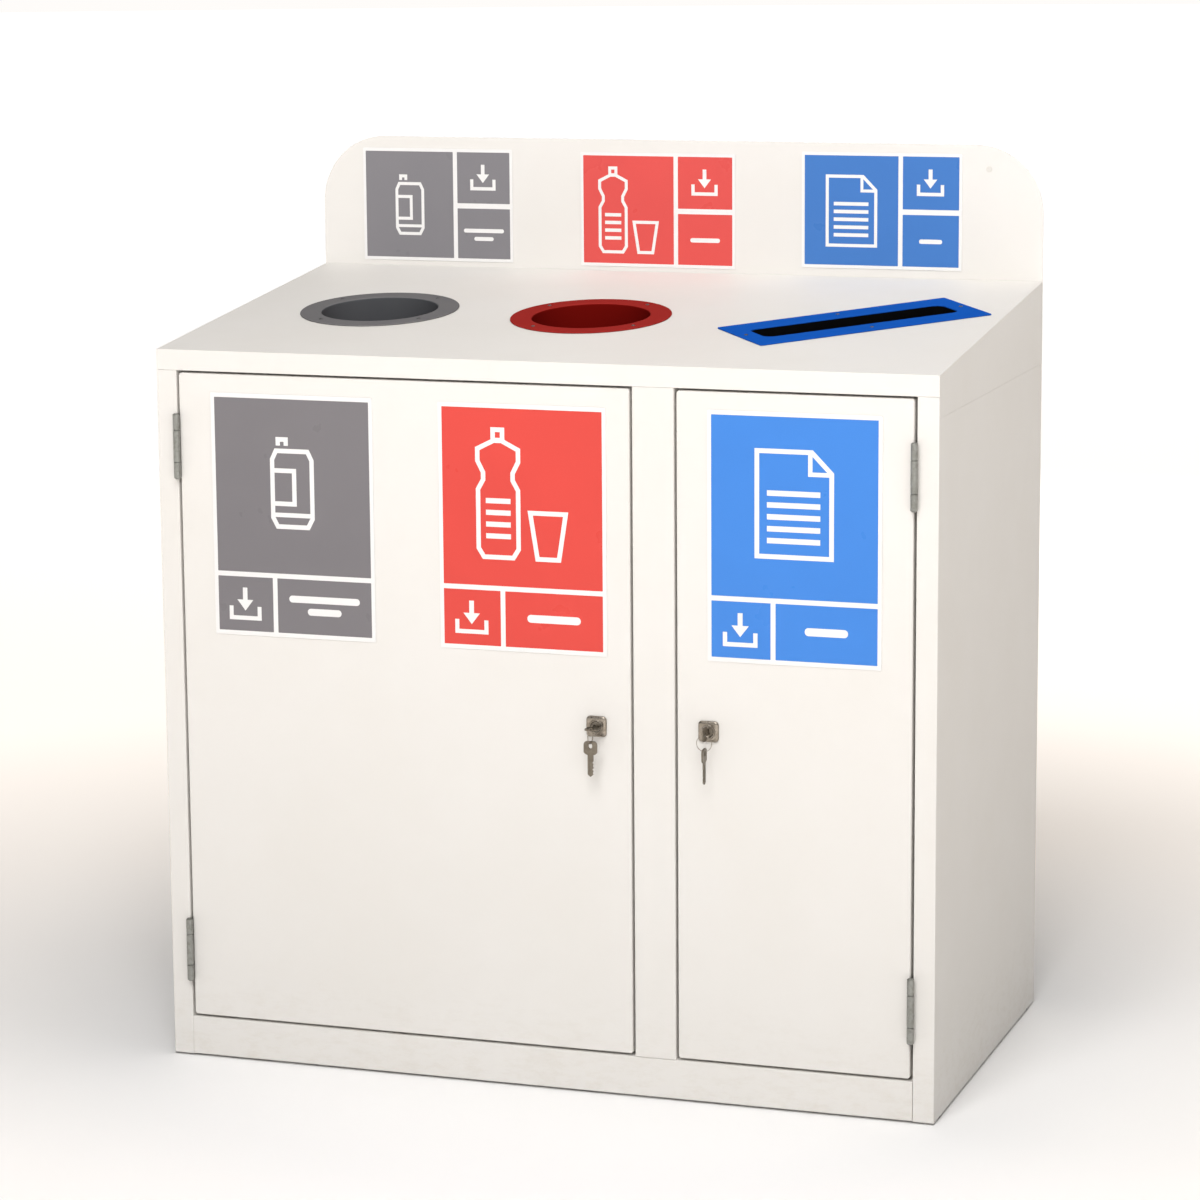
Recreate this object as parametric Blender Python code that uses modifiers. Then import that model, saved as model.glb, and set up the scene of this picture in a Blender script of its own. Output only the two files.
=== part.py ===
"""Recycling bin station: a folded sheet steel cabinet with a sloping hood, two lockable doors, three bays with lift-out
liners, and a sign board above the back edge.

Lengths below are in millimetres and turned into metres where an object is made. The station's own frame has x from its
left side, y from its front plane towards its back, and z up from the floor. The empty "recycling_station" carries that
frame, and puts the origin under the middle of the object.
"""

import math

import bmesh
import bpy
from mathutils import Matrix, Vector

MM = 0.001

# Cabinet
WIDTH = 975.0
DEPTH = 540.0
FRONT_HEIGHT = 887.0
SLOPE = 0.1  # the lid rises by this share of its depth
BOARD_TOP = 1111.0
BOARD_CORNER = 87.0
SHEET = 1.2
BOARD_SHEET = 2.0
FIT = 0.3  # clearance between neighbours that touch
UNDERSIDE = 3.0  # the glides lift the sheet metal by this much
FASCIA_BOTTOM = 862.0
SKIRT_BOTTOM = 838.0
BACK_SEAM = 900.0  # the back panel ends and the sign board begins
HOOD_BACK = 537.7
STILE = 26.0
RETURN = 20.0
PLINTH_TOP = 51.5
MULLION = (606.5, 658.0)
DECK = 62.0
STOP_Y = 21.5  # plane behind the doors

# Doors
DOOR_LEFT = (29.0, 603.5)
DOOR_RIGHT = (661.0, 945.5)
DOOR_Z = (54.5, 859.0)
DOOR_CORNER = 3.0

# Hinges
HINGE_X = {"left": 27.5, "right": 947.5}
HINGE_Y = -6.5
HINGE_Z = {"upper": 770.0, "lower": 139.0}
HINGE_LENGTH = 78.0
KNUCKLE_R = 4.25
BORE_R = 2.3
PIN_R = 2.0
LEAF = 1.0

# Locks and keys
LOCK = {"left": (561.0, 454.5), "right": (700.0, 457.0)}
BEZEL = 25.0
BEZEL_FRONT = -4.0
BARREL_R = 9.0
PLUG_R = 6.0
CAM_LENGTH = 52.0
KEY_THICK = 1.8
KEY_BOW = 17.0
KEY_HALF = 8.4
KEY_LENGTH = 43.0
KEY_HOLE = (2.3, 3.2)  # half width and half length of the oval hole
KEY_WEB = 2.6
BOW_START = -8.0
RING_R = 9.35
WIRE_R = 0.65

# Lid openings: (x, distance up the slope)
CANS_AT = (190.0, 258.0)
PLASTIC_AT = (471.0, 255.0)
PAPER_AT = (803.0, 270.0)
FLANGE_R = 100.0
THROAT_R = 73.0
COLLAR = 50.0
SLOT_TURN = math.radians(42.4)
SLOT_PLATE = (312.0, 120.0)
SLOT = (263.0, 52.0)
SLOT_CORNER = 12.0

# Signs: lower left corner
A4 = (210.0, 297.0)
A5 = (210.0, 148.0)
SIGN_SHEET = 0.8
DOOR_SIGNS = {"cans": (71.0, 540.0), "plastic": (364.8, 539.0), "paper": (698.9, 541.5)}
BOARD_SIGNS = {"cans": (57.0, 947.5), "plastic": (361.5, 946.2), "paper": (660.5, 951.2)}

# Liners: (x from, x to)
LINERS = {"cans": (43.0, 311.0), "plastic": (325.0, 593.0), "paper": (669.0, 937.0)}
LINER_Y = (46.0, 504.0)
LINER_HEIGHT = 720.0
LINER_RIM = 8.0
LINER_CORNER = 26.0

# How far the left key ring reaches in front of the doors
RING_LEAN = 0.5  # the left ring's centre sits this far in front of the web it hangs on
REACH = -BOW_START + KEY_BOW - KEY_WEB / 2 + RING_LEAN + RING_R + WIRE_R

TILT = math.atan(SLOPE)


def clear_scene():
    for obj in list(bpy.data.objects):
        bpy.data.objects.remove(obj, do_unlink=True)


def new_collection(name):
    made = bpy.data.collections.new(name)
    bpy.context.scene.collection.children.link(made)
    return made


clear_scene()
PARTS = new_collection("recycling_station_parts")
CUTTERS = new_collection("cutters")


def paint(name, rgb, roughness, metallic=0.0):
    made = bpy.data.materials.new(name)
    made.use_nodes = True
    shader = made.node_tree.nodes["Principled BSDF"]
    shader.inputs["Base Color"].default_value = (*rgb, 1.0)
    shader.inputs["Roughness"].default_value = roughness
    shader.inputs["Metallic"].default_value = metallic
    made.diffuse_color = (*rgb, 1.0)
    return made


WHITE = paint("white_powder_coat", (0.86, 0.85, 0.81), 0.45)
GREY = paint("grey_enamel", (0.12, 0.12, 0.125), 0.4)
RED = paint("red_enamel", (0.55, 0.03, 0.02), 0.4)
BLUE = paint("blue_enamel", (0.02, 0.13, 0.60), 0.4)
BLACK = paint("black_plastic", (0.01, 0.01, 0.01), 0.6)
ZINC = paint("zinc_plate", (0.62, 0.62, 0.62), 0.35, 1.0)
GALVANISED = paint("galvanised_steel", (0.50, 0.52, 0.53), 0.5, 1.0)
NICKEL = paint("nickel_plate", (0.60, 0.56, 0.50), 0.3, 1.0)
NYLON = paint("grey_nylon", (0.10, 0.10, 0.10), 0.7)
SIGN_GREY = paint("sign_grey", (0.25, 0.24, 0.25), 0.5)
SIGN_RED = paint("sign_red", (0.75, 0.09, 0.07), 0.5)
SIGN_BLUE = paint("sign_blue", (0.07, 0.24, 0.68), 0.5)

STATION_AT = {}


def pivot(name, at, parent=None):
    """An empty at a point of the station's frame. The first one is the frame itself."""
    made = bpy.data.objects.new(name, None)
    made.empty_display_size = 0.05
    PARTS.objects.link(made)
    STATION_AT[made] = Vector(at)
    if parent is None:
        made.location = Vector((-WIDTH / 2, -(DEPTH - REACH) / 2, 0)) * MM
    else:
        made.parent = parent
        made.location = (Vector(at) - STATION_AT[parent]) * MM
    return made


STATION = pivot("recycling_station", (0, 0, 0))


def placed(obj, at, parent, turn=None):
    """Puts an object at a point of the station's frame, under an empty."""
    parent = parent or STATION
    obj.parent = parent
    obj.location = (Vector(at) - STATION_AT[parent]) * MM
    if turn is not None:
        obj.rotation_euler = turn.to_euler()
    return obj


def shown(obj, surface, helper):
    """Links an object as a part, or as a cutter that stays out of renders."""
    if helper:
        CUTTERS.objects.link(obj)
        obj.hide_render = True
        obj.display_type = "WIRE"
    else:
        PARTS.objects.link(obj)
        obj.data.materials.append(surface)
    return obj


def smooth(obj):
    obj.data.shade_smooth()
    obj.data.set_sharp_from_angle(angle=math.radians(35))


def from_bmesh(name, shape, at, parent, surface, helper=False, turn=None, rounded=False):
    bmesh.ops.scale(shape, vec=(MM, MM, MM), verts=shape.verts)
    bmesh.ops.recalc_face_normals(shape, faces=shape.faces)
    data = bpy.data.meshes.new(name)
    shape.to_mesh(data)
    shape.free()
    obj = shown(bpy.data.objects.new(name, data), surface, helper)
    if rounded:
        smooth(obj)
    return placed(obj, at, parent, turn)


def box(name, x, y, z, parent=None, surface=None, helper=False):
    shape = bmesh.new()
    bmesh.ops.create_cube(shape, size=1.0)
    bmesh.ops.scale(shape, vec=(x[1] - x[0], y[1] - y[0], z[1] - z[0]), verts=shape.verts)
    at = ((x[0] + x[1]) / 2, (y[0] + y[1]) / 2, (z[0] + z[1]) / 2)
    return from_bmesh(name, shape, at, parent, surface, helper)


# The local z of each shape, turned to run along x, along y from back to front, up, or square to the lid.
ALONG_X = Matrix.Rotation(math.pi / 2, 4, "Z") @ Matrix.Rotation(math.pi / 2, 4, "X")
ALONG_Y = Matrix.Rotation(math.pi / 2, 4, "X")
UPRIGHT = Matrix.Identity(4)
OFF_LID = Matrix.Rotation(TILT, 4, "X")


def rod(name, radius, length, at, turn=UPRIGHT, parent=None, surface=None, helper=False, steps=24, end_radius=None):
    """A round bar centred on a point."""
    shape = bmesh.new()
    bmesh.ops.create_cone(
        shape,
        cap_ends=True,
        segments=steps,
        radius1=radius,
        radius2=radius if end_radius is None else end_radius,
        depth=length,
    )
    return from_bmesh(name, shape, at, parent, surface, helper, turn, True)


def rounded_box_outline(width, height, radius, steps=4, centre=(0.0, 0.0)):
    points = []
    for corner, (sx, sy) in enumerate(((1, 1), (-1, 1), (-1, -1), (1, -1))):
        cx = centre[0] + sx * (width / 2 - radius)
        cy = centre[1] + sy * (height / 2 - radius)
        for step in range(steps + 1):
            angle = math.pi / 2 * (corner + step / steps)
            points.append((cx + radius * math.cos(angle), cy + radius * math.sin(angle)))
    return points


def circle_outline(radius, steps=24, centre=(0.0, 0.0), start=0.0):
    return [
        (
            centre[0] + radius * math.cos(start + 2 * math.pi * step / steps),
            centre[1] + radius * math.sin(start + 2 * math.pi * step / steps),
        )
        for step in range(steps)
    ]


def folded_outline(path, thickness=SHEET):
    """The section of a sheet folded along an open path, with its thickness on the path's right."""
    inner = []
    for i, point in enumerate(path):
        sides = []
        for a, b in ((i - 1, i), (i, i + 1)):
            if a >= 0 and b < len(path):
                run = Vector(path[b]) - Vector(path[a])
                sides.append(Vector((run.y, -run.x)).normalized())
        middle = sum(sides, Vector((0.0, 0.0))).normalized()
        inner.append(tuple(Vector(point) + middle * (thickness / middle.dot(sides[0]))))
    return list(path) + inner[::-1]


def extruded(name, loops, length, at, turn=UPRIGHT, parent=None, surface=None, helper=False, rounded=False):
    """A flat outline with holes as a filled 2D curve, extruded, and turned into a mesh. It is centred along its length."""
    curve = bpy.data.curves.new(name, "CURVE")
    curve.dimensions = "2D"
    curve.fill_mode = "BOTH"
    curve.extrude = length * MM / 2
    for loop in loops:
        spline = curve.splines.new("POLY")
        spline.points.add(len(loop) - 1)
        for point, (x, y) in zip(spline.points, loop):
            point.co = (x * MM, y * MM, 0.0, 1.0)
        spline.use_cyclic_u = True
    guide = bpy.data.objects.new(name + "_outline", curve)
    PARTS.objects.link(guide)
    bpy.context.view_layer.update()
    graph = bpy.context.evaluated_depsgraph_get()
    data = bpy.data.meshes.new_from_object(guide.evaluated_get(graph))
    bpy.data.objects.remove(guide, do_unlink=True)
    shape = bmesh.new()
    shape.from_mesh(data)
    bmesh.ops.remove_doubles(shape, verts=shape.verts, dist=1e-6)
    bmesh.ops.dissolve_limit(shape, angle_limit=math.radians(0.5), verts=shape.verts, edges=shape.edges)
    bmesh.ops.recalc_face_normals(shape, faces=shape.faces)
    shape.to_mesh(data)
    shape.free()
    data.name = name
    obj = shown(bpy.data.objects.new(name, data), surface, helper)
    if rounded:
        smooth(obj)
    return placed(obj, at, parent, turn)


def turned(name, profile, at, turn, parent, surface, steps=48):
    """A closed profile of (radius, height) points, turned about its z axis with a Screw modifier."""
    data = bpy.data.meshes.new(name)
    shape = bmesh.new()
    verts = [shape.verts.new((r * MM, 0.0, h * MM)) for r, h in profile]
    for a, b in zip(verts, verts[1:] + verts[:1]):
        shape.edges.new((a, b))
    shape.to_mesh(data)
    shape.free()
    obj = shown(bpy.data.objects.new(name, data), surface, False)
    screw = obj.modifiers.new("turn", "SCREW")
    screw.axis = "Z"
    screw.angle = 2 * math.pi
    screw.steps = screw.render_steps = steps
    screw.use_merge_vertices = True
    screw.merge_threshold = 0.00001
    screw.use_smooth_shade = False
    return placed(obj, at, parent, turn)


def with_shape(obj, other, operation):
    step = obj.modifiers.new(other.name, "BOOLEAN")
    step.operation = operation
    step.solver = "EXACT"
    step.object = other


def cut(obj, *others):
    for other in others:
        with_shape(obj, other, "DIFFERENCE")


def join(obj, *others):
    for other in others:
        with_shape(obj, other, "UNION")


def open_shell(name, x, y, z, open_side, corner, thickness, parent, surface, corner_axis, steps=3):
    """A box of sheet with one side open: rounded where four of its edges run along corner_axis, and thickened inwards."""
    shape = bmesh.new()
    bmesh.ops.create_cube(shape, size=1.0)
    bmesh.ops.scale(shape, vec=(x[1] - x[0], y[1] - y[0], z[1] - z[0]), verts=shape.verts)
    if corner:
        edges = [
            e
            for e in shape.edges
            if abs((e.verts[0].co - e.verts[1].co).normalized()[corner_axis]) > 0.9
        ]
        bmesh.ops.bevel(shape, geom=edges, offset=corner, segments=steps, profile=0.5, affect="EDGES")
    shape.normal_update()
    missing = [f for f in shape.faces if f.normal.dot(Vector(open_side)) > 0.99]
    bmesh.ops.delete(shape, geom=missing, context="FACES_ONLY")
    bmesh.ops.scale(shape, vec=(MM, MM, MM), verts=shape.verts)
    data = bpy.data.meshes.new(name)
    shape.to_mesh(data)
    shape.free()
    obj = shown(bpy.data.objects.new(name, data), surface, False)
    sheet = obj.modifiers.new("sheet", "SOLIDIFY")
    sheet.thickness = thickness * MM
    sheet.offset = -1.0
    sheet.use_even_offset = True
    centre = ((x[0] + x[1]) / 2, (y[0] + y[1]) / 2, (z[0] + z[1]) / 2)
    return placed(obj, centre, parent)


def on_lid(at, height=0.0):
    """A point of the lid's top face, or that far off it, from its x and its distance up the slope."""
    x, up = at
    return (
        x,
        up * math.cos(TILT) - height * math.sin(TILT),
        FRONT_HEIGHT + up * math.sin(TILT) + height * math.cos(TILT),
    )


# ---------------------------------------------------------------- cabinet

FOOT_Y = (35.0, 505.0)
FOOT_X = {"left": 13.5, "right": WIDTH - 13.5}


def side_panel(side):
    """Outer wall, front stile with its return, back flange and bottom flange, from one sheet."""
    flip = 1.0 if side == "left" else -1.0
    start = 0.0 if side == "left" else WIDTH
    path = [(STILE, RETURN), (STILE, 0), (0, 0), (0, DEPTH - 1.5), (18, DEPTH - 1.5)]
    outline = [(start + flip * x, y) for x, y in folded_outline(path)]
    top = FASCIA_BOTTOM - FIT
    panel = extruded(
        side + "_side_panel", [outline], top - UNDERSIDE, (0, 0, (top + UNDERSIDE) / 2), surface=WHITE
    )

    def across(a, b):
        return tuple(sorted((start + flip * a, start + flip * b)))

    join(
        panel,
        box(side + "_bottom_flange", across(0.6, 25.4), (0.6, DEPTH - 2.1), (UNDERSIDE + 0.1, UNDERSIDE + 0.1 + SHEET), helper=True),
    )
    cut(
        panel,
        box(side + "_skirt_notch", across(-5, 21), (1.6, DEPTH + 5), (SKIRT_BOTTOM - 1, FASCIA_BOTTOM + 5), helper=True),
    )
    for row, y in zip(("front", "rear"), FOOT_Y):
        cut(
            panel,
            rod(side + "_" + row + "_foot_hole", 4.6, 20, (FOOT_X[side], y, UNDERSIDE), helper=True, steps=16),
        )


side_panel("left")
side_panel("right")

box("back_panel", (0, WIDTH), (DEPTH - SHEET, DEPTH), (UNDERSIDE + 1, BACK_SEAM - FIT), surface=WHITE)

open_shell(
    "floor_panel",
    (1.5, WIDTH - 1.5),
    (STOP_Y, DEPTH - 3.2),
    (28.0, DECK),
    (0, 0, -1),
    0,
    SHEET,
    STATION,
    WHITE,
    2,
)

rail = folded_outline([(RETURN, UNDERSIDE), (0, UNDERSIDE), (0, PLINTH_TOP), (STOP_Y - FIT, PLINTH_TOP)])
extruded(
    "plinth_rail",
    [rail],
    WIDTH - 2 * (STILE + FIT),
    (WIDTH / 2, 0, 0),
    ALONG_X,
    surface=WHITE,
)

a, b = MULLION
extruded(
    "centre_mullion",
    [
        folded_outline(
            [(b - 9, RETURN + 0.8), (b, RETURN + 0.8), (b, 0), (a, 0), (a, RETURN + 0.8), (a + 9, RETURN + 0.8)]
        )
    ],
    FASCIA_BOTTOM - PLINTH_TOP - 2 * FIT,
    (0, 0, (FASCIA_BOTTOM + PLINTH_TOP) / 2),
    surface=WHITE,
)

middle = (a + b) / 2
extruded(
    "bay_divider",
    [folded_outline([(middle + 9, 27.0), (middle - 0.6, 27.0), (middle - 0.6, DEPTH - 4), (middle + 9, DEPTH - 4)])],
    870.0 - DECK - FIT,
    (0, 0, (870.0 + DECK + FIT) / 2),
    surface=WHITE,
)


def hood():
    """The lid, the fascia with its return and door stop, and the back flange, folded along x. Side skirts close its ends."""
    back_top = FRONT_HEIGHT + SLOPE * HOOD_BACK
    section = folded_outline(
        [
            (STOP_Y, FASCIA_BOTTOM - 10),
            (STOP_Y, FASCIA_BOTTOM),
            (0, FASCIA_BOTTOM),
            (0, FRONT_HEIGHT),
            (HOOD_BACK, back_top),
            (HOOD_BACK, BACK_SEAM),
        ]
    )
    made = extruded("top_hood", [section], WIDTH, (WIDTH / 2, 0, 0), ALONG_X, surface=WHITE)
    skirt = [
        (0.3, FASCIA_BOTTOM + 0.3),
        (2.0, FASCIA_BOTTOM + 0.3),
        (2.0, SKIRT_BOTTOM),
        (HOOD_BACK - 0.2, SKIRT_BOTTOM),
        (HOOD_BACK - 0.2, back_top - 0.4),
        (0.3, FRONT_HEIGHT - 0.4),
    ]
    for side, x in (("left", SHEET / 2), ("right", WIDTH - SHEET / 2)):
        join(made, extruded(side + "_skirt", [skirt], SHEET, (x, 0, 0), ALONG_X, helper=True))
    for name, at in (("cans", CANS_AT), ("plastic", PLASTIC_AT)):
        cut(made, rod(name + "_lid_hole", THROAT_R + 2.2, 30, on_lid(at), OFF_LID, helper=True, steps=48))
    cut(
        made,
        extruded(
            "paper_lid_hole",
            [rounded_box_outline(SLOT[0] + 5, SLOT[1] + 5, SLOT_CORNER + 2.5)],
            30,
            on_lid(PAPER_AT),
            OFF_LID @ Matrix.Rotation(SLOT_TURN, 4, "Z"),
            helper=True,
        ),
    )


hood()

board = [(0, BACK_SEAM), (WIDTH, BACK_SEAM)]
for cx, start in ((WIDTH - BOARD_CORNER, 0.0), (BOARD_CORNER, math.pi / 2)):
    for step in range(13):
        angle = start + math.pi / 2 * step / 12
        board.append(
            (cx + BOARD_CORNER * math.cos(angle), BOARD_TOP - BOARD_CORNER + BOARD_CORNER * math.sin(angle))
        )
extruded("sign_board", [board], BOARD_SHEET, (0, DEPTH - BOARD_SHEET / 2, 0), ALONG_Y, surface=WHITE)

for row, y in zip(("front", "rear"), FOOT_Y):
    for side, x in FOOT_X.items():
        foot = rod(f"foot_{row}_{side}", 12.5, UNDERSIDE - FIT, (x, y, (UNDERSIDE - FIT) / 2), surface=NYLON, steps=24)
        join(foot, rod(f"foot_{row}_{side}_stem", 4.2, 12, (x, y, 7.5), helper=True, steps=16))

# ---------------------------------------------------------------- lid openings

RIM_UNDER, RIM_TOP = FIT, FIT + 1.5
for name, at, surface in (("cans", CANS_AT, GREY), ("plastic", PLASTIC_AT, RED)):
    turned(
        name + "_aperture_ring",
        [
            (FLANGE_R, RIM_TOP),
            (FLANGE_R, RIM_UNDER),
            (THROAT_R + SHEET, RIM_UNDER),
            (THROAT_R + SHEET, -COLLAR),
            (THROAT_R, -COLLAR),
            (THROAT_R, RIM_TOP),
        ],
        on_lid(at),
        OFF_LID,
        STATION,
        surface,
    )

SLOT_FACE = OFF_LID @ Matrix.Rotation(SLOT_TURN, 4, "Z")
extruded(
    "paper_slot_plate",
    [rounded_box_outline(*SLOT_PLATE, 2.0, 2), rounded_box_outline(*SLOT, SLOT_CORNER)],
    1.5,
    on_lid(PAPER_AT, FIT + 0.75),
    SLOT_FACE,
    surface=BLUE,
)
extruded(
    "paper_slot_chute",
    [
        rounded_box_outline(SLOT[0] + 3.2, SLOT[1] + 3.2, SLOT_CORNER + 1.6),
        rounded_box_outline(SLOT[0] + 0.4, SLOT[1] + 0.4, SLOT_CORNER + 0.2),
    ],
    COLLAR,
    on_lid(PAPER_AT, -COLLAR / 2),
    SLOT_FACE,
    surface=BLACK,
)

# ---------------------------------------------------------------- liners


def liner(name, x):
    """An open-topped bin of galvanised sheet with a rolled rim."""
    wall = LINER_RIM / 2
    base = DECK + FIT
    top = base + LINER_HEIGHT
    made = open_shell(
        name + "_liner",
        (x[0] + wall, x[1] - wall),
        (LINER_Y[0] + wall, LINER_Y[1] - wall),
        (base, top - 0.4),
        (0, 0, 1),
        LINER_CORNER - wall,
        1.0,
        STATION,
        GALVANISED,
        2,
    )
    width, depth = x[1] - x[0], LINER_Y[1] - LINER_Y[0]
    join(
        made,
        extruded(
            name + "_rim",
            [
                rounded_box_outline(width, depth, LINER_CORNER, 3),
                rounded_box_outline(width - LINER_RIM - 1, depth - LINER_RIM - 1, LINER_CORNER - wall - 0.5, 3),
            ],
            LINER_RIM,
            (sum(x) / 2, sum(LINER_Y) / 2, top - LINER_RIM / 2),
            helper=True,
        ),
    )


for name, x in LINERS.items():
    liner(name, x)

# ---------------------------------------------------------------- moving bodies

DOOR_PIVOT = {
    side: pivot(side + "_door_pivot", (HINGE_X[side], HINGE_Y, 0), STATION) for side in ("left", "right")
}
LOCK_PIVOT = {
    side: pivot(side + "_lock_pivot", (LOCK[side][0], 0, LOCK[side][1]), DOOR_PIVOT[side])
    for side in ("left", "right")
}

# ---------------------------------------------------------------- hinges


def leaf(name, side, towards_door, knuckles, z, parent):
    """One leaf in the door gap, with its knuckles in front of it and the bore through them."""
    flip = 1.0 if side == "left" else -1.0
    flip = flip if towards_door else -flip
    x = HINGE_X[side]
    span = tuple(sorted((x + flip * 0.2, x + flip * (0.2 + LEAF))))
    made = box(name, span, (-1.9, 18.0), (z - HINGE_LENGTH / 2, z + HINGE_LENGTH / 2), parent, ZINC)
    for i, (low, high) in enumerate(knuckles):
        middle, length = z + (low + high) / 2, high - low
        inner = tuple(sorted((x + flip * 0.25, x + flip * (0.15 + LEAF))))
        join(
            made,
            box(f"{name}_tab_{i}", inner, (-3.4, -1.0), (middle - length / 2 + 0.2, middle + length / 2 - 0.2), parent, helper=True),
            rod(f"{name}_knuckle_{i}", KNUCKLE_R, length, (x, HINGE_Y, middle), UPRIGHT, parent, helper=True, steps=16),
        )
    cut(made, rod(name + "_bore", BORE_R, HINGE_LENGTH + 20, (x, HINGE_Y, z), UPRIGHT, parent, helper=True, steps=16))


QUARTER = HINGE_LENGTH / 4
for side in ("left", "right"):
    for level, z in HINGE_Z.items():
        hinge = f"{side}_{level}"
        leaf(
            hinge + "_frame_leaf",
            side,
            False,
            ((-2 * QUARTER, -QUARTER - 0.2), (QUARTER + 0.2, 2 * QUARTER)),
            z,
            STATION,
        )
        leaf(hinge + "_door_leaf", side, True, ((-QUARTER + 0.2, QUARTER - 0.2),), z, DOOR_PIVOT[side])
        pin = rod(hinge + "_hinge_pin", PIN_R, HINGE_LENGTH + 1, (HINGE_X[side], HINGE_Y, z), surface=ZINC, steps=16)
        for end, way in (("top", 1), ("bottom", -1)):
            join(
                pin,
                rod(
                    f"{hinge}_pin_{end}",
                    3.2,
                    0.9,
                    (HINGE_X[side], HINGE_Y, z + way * (HINGE_LENGTH / 2 + 0.75)),
                    helper=True,
                    steps=16,
                ),
            )

# ---------------------------------------------------------------- doors


def door(side, x):
    body = DOOR_PIVOT[side]
    lock_x, lock_z = LOCK[side]
    skin = open_shell(
        side + "_door", x, (0.0, RETURN), DOOR_Z, (0, 1, 0), DOOR_CORNER, SHEET, body, WHITE, 1
    )
    cut(skin, rod(side + "_lock_hole", BARREL_R + 0.4, 20, (lock_x, 0, lock_z), ALONG_Y, body, helper=True))
    middle = sum(x) / 2
    hat = [
        (middle - 34, SHEET + FIT),
        (middle - 18, SHEET + FIT),
        (middle - 18, 16.0),
        (middle + 18, 16.0),
        (middle + 18, SHEET + FIT),
        (middle + 34, SHEET + FIT),
    ]
    extruded(
        side + "_door_stiffener",
        [folded_outline([(px, py + (SHEET if py < 10 else 0)) for px, py in hat])],
        DOOR_Z[1] - DOOR_Z[0] - 40,
        (0, 0, sum(DOOR_Z) / 2),
        parent=body,
        surface=WHITE,
    )
    housing = extruded(
        side + "_lock_housing",
        [rounded_box_outline(BEZEL, BEZEL, 4.0, 3)],
        -FIT - BEZEL_FRONT,
        (lock_x, (BEZEL_FRONT - FIT) / 2, lock_z),
        ALONG_Y,
        body,
        NICKEL,
    )
    join(housing, rod(side + "_lock_barrel", BARREL_R, 21.5, (lock_x, 9.75, lock_z), ALONG_Y, body, helper=True))
    cut(housing, rod(side + "_plug_bore", PLUG_R + 0.35, 60, (lock_x, 8, lock_z), ALONG_Y, body, helper=True))
    extruded(
        side + "_lock_nut",
        [circle_outline(12.6, 6), circle_outline(BARREL_R + 0.3, 24)],
        3.5,
        (lock_x, SHEET + FIT + 1.75, lock_z),
        ALONG_Y,
        body,
        ZINC,
    )


door("left", DOOR_LEFT)
door("right", DOOR_RIGHT)

# ---------------------------------------------------------------- signs

FACE_COLOUR = {"cans": SIGN_GREY, "plastic": SIGN_RED, "paper": SIGN_BLUE}
for stream, (x, z) in DOOR_SIGNS.items():
    extruded(
        stream + "_door_sign",
        [rounded_box_outline(*A4, 1.5, 2)],
        SIGN_SHEET,
        (x + A4[0] / 2, -FIT - SIGN_SHEET / 2, z + A4[1] / 2),
        ALONG_Y,
        DOOR_PIVOT["right" if stream == "paper" else "left"],
        FACE_COLOUR[stream],
    )
for stream, (x, z) in BOARD_SIGNS.items():
    extruded(
        stream + "_board_sign",
        [rounded_box_outline(*A5, 1.5, 2)],
        SIGN_SHEET,
        (x + A5[0] / 2, DEPTH - BOARD_SHEET - FIT - SIGN_SHEET / 2, z + A5[1] / 2),
        ALONG_Y,
        surface=FACE_COLOUR[stream],
    )

# ---------------------------------------------------------------- locks


def plug(side):
    """The turning barrel of a lock with its keyway, its square end, the cam on it and the cam's screw."""
    body = LOCK_PIVOT[side]
    x, z = LOCK[side]
    flat = Matrix.Rotation(0.0 if side == "left" else math.pi / 2, 4, "Y")
    made = rod(side + "_lock_plug", PLUG_R, 24.8, (x, BEZEL_FRONT + 0.4 + 12.4, z), ALONG_Y, body, NICKEL)
    join(
        made,
        box(side + "_shank", (x - 3.5, x + 3.5), (20.0, 23.9), (z - 3.5, z + 3.5), body, helper=True),
    )
    keyway = box(side + "_keyway", (x - 3.9, x + 3.9), (BEZEL_FRONT - 2, 19.2), (z - 1.2, z + 1.2), body, helper=True)
    keyway.rotation_euler = flat.to_euler()
    cut(
        made,
        keyway,
        rod(side + "_screw_bore", 2.1, 10, (x, 24.9, z), ALONG_Y, body, helper=True, steps=16),
    )
    half = 7.0
    arm = [(math.cos(t) * 10.5, math.sin(t) * 10.5) for t in [math.radians(-40 + 260 * i / 14) for i in range(15)]]
    arm += [(-half, -12), (-half, -CAM_LENGTH + 3), (-half + 3, -CAM_LENGTH), (half - 3, -CAM_LENGTH), (half, -CAM_LENGTH + 3), (half, -12)]
    extruded(
        side + "_lock_cam",
        [arm, [(-3.8, -3.8), (3.8, -3.8), (3.8, 3.8), (-3.8, 3.8)]],
        2.5,
        (x, 22.75, z),
        ALONG_Y,
        body,
        ZINC,
    )
    screw = rod(side + "_cam_screw", 5.5, 2.2, (x, 25.4, z), ALONG_Y, body, ZINC, steps=20, end_radius=5.5)
    join(screw, rod(side + "_cam_screw_shaft", 1.75, 4.4, (x, 22.6, z), ALONG_Y, body, helper=True, steps=16))


plug("left")
plug("right")


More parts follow.
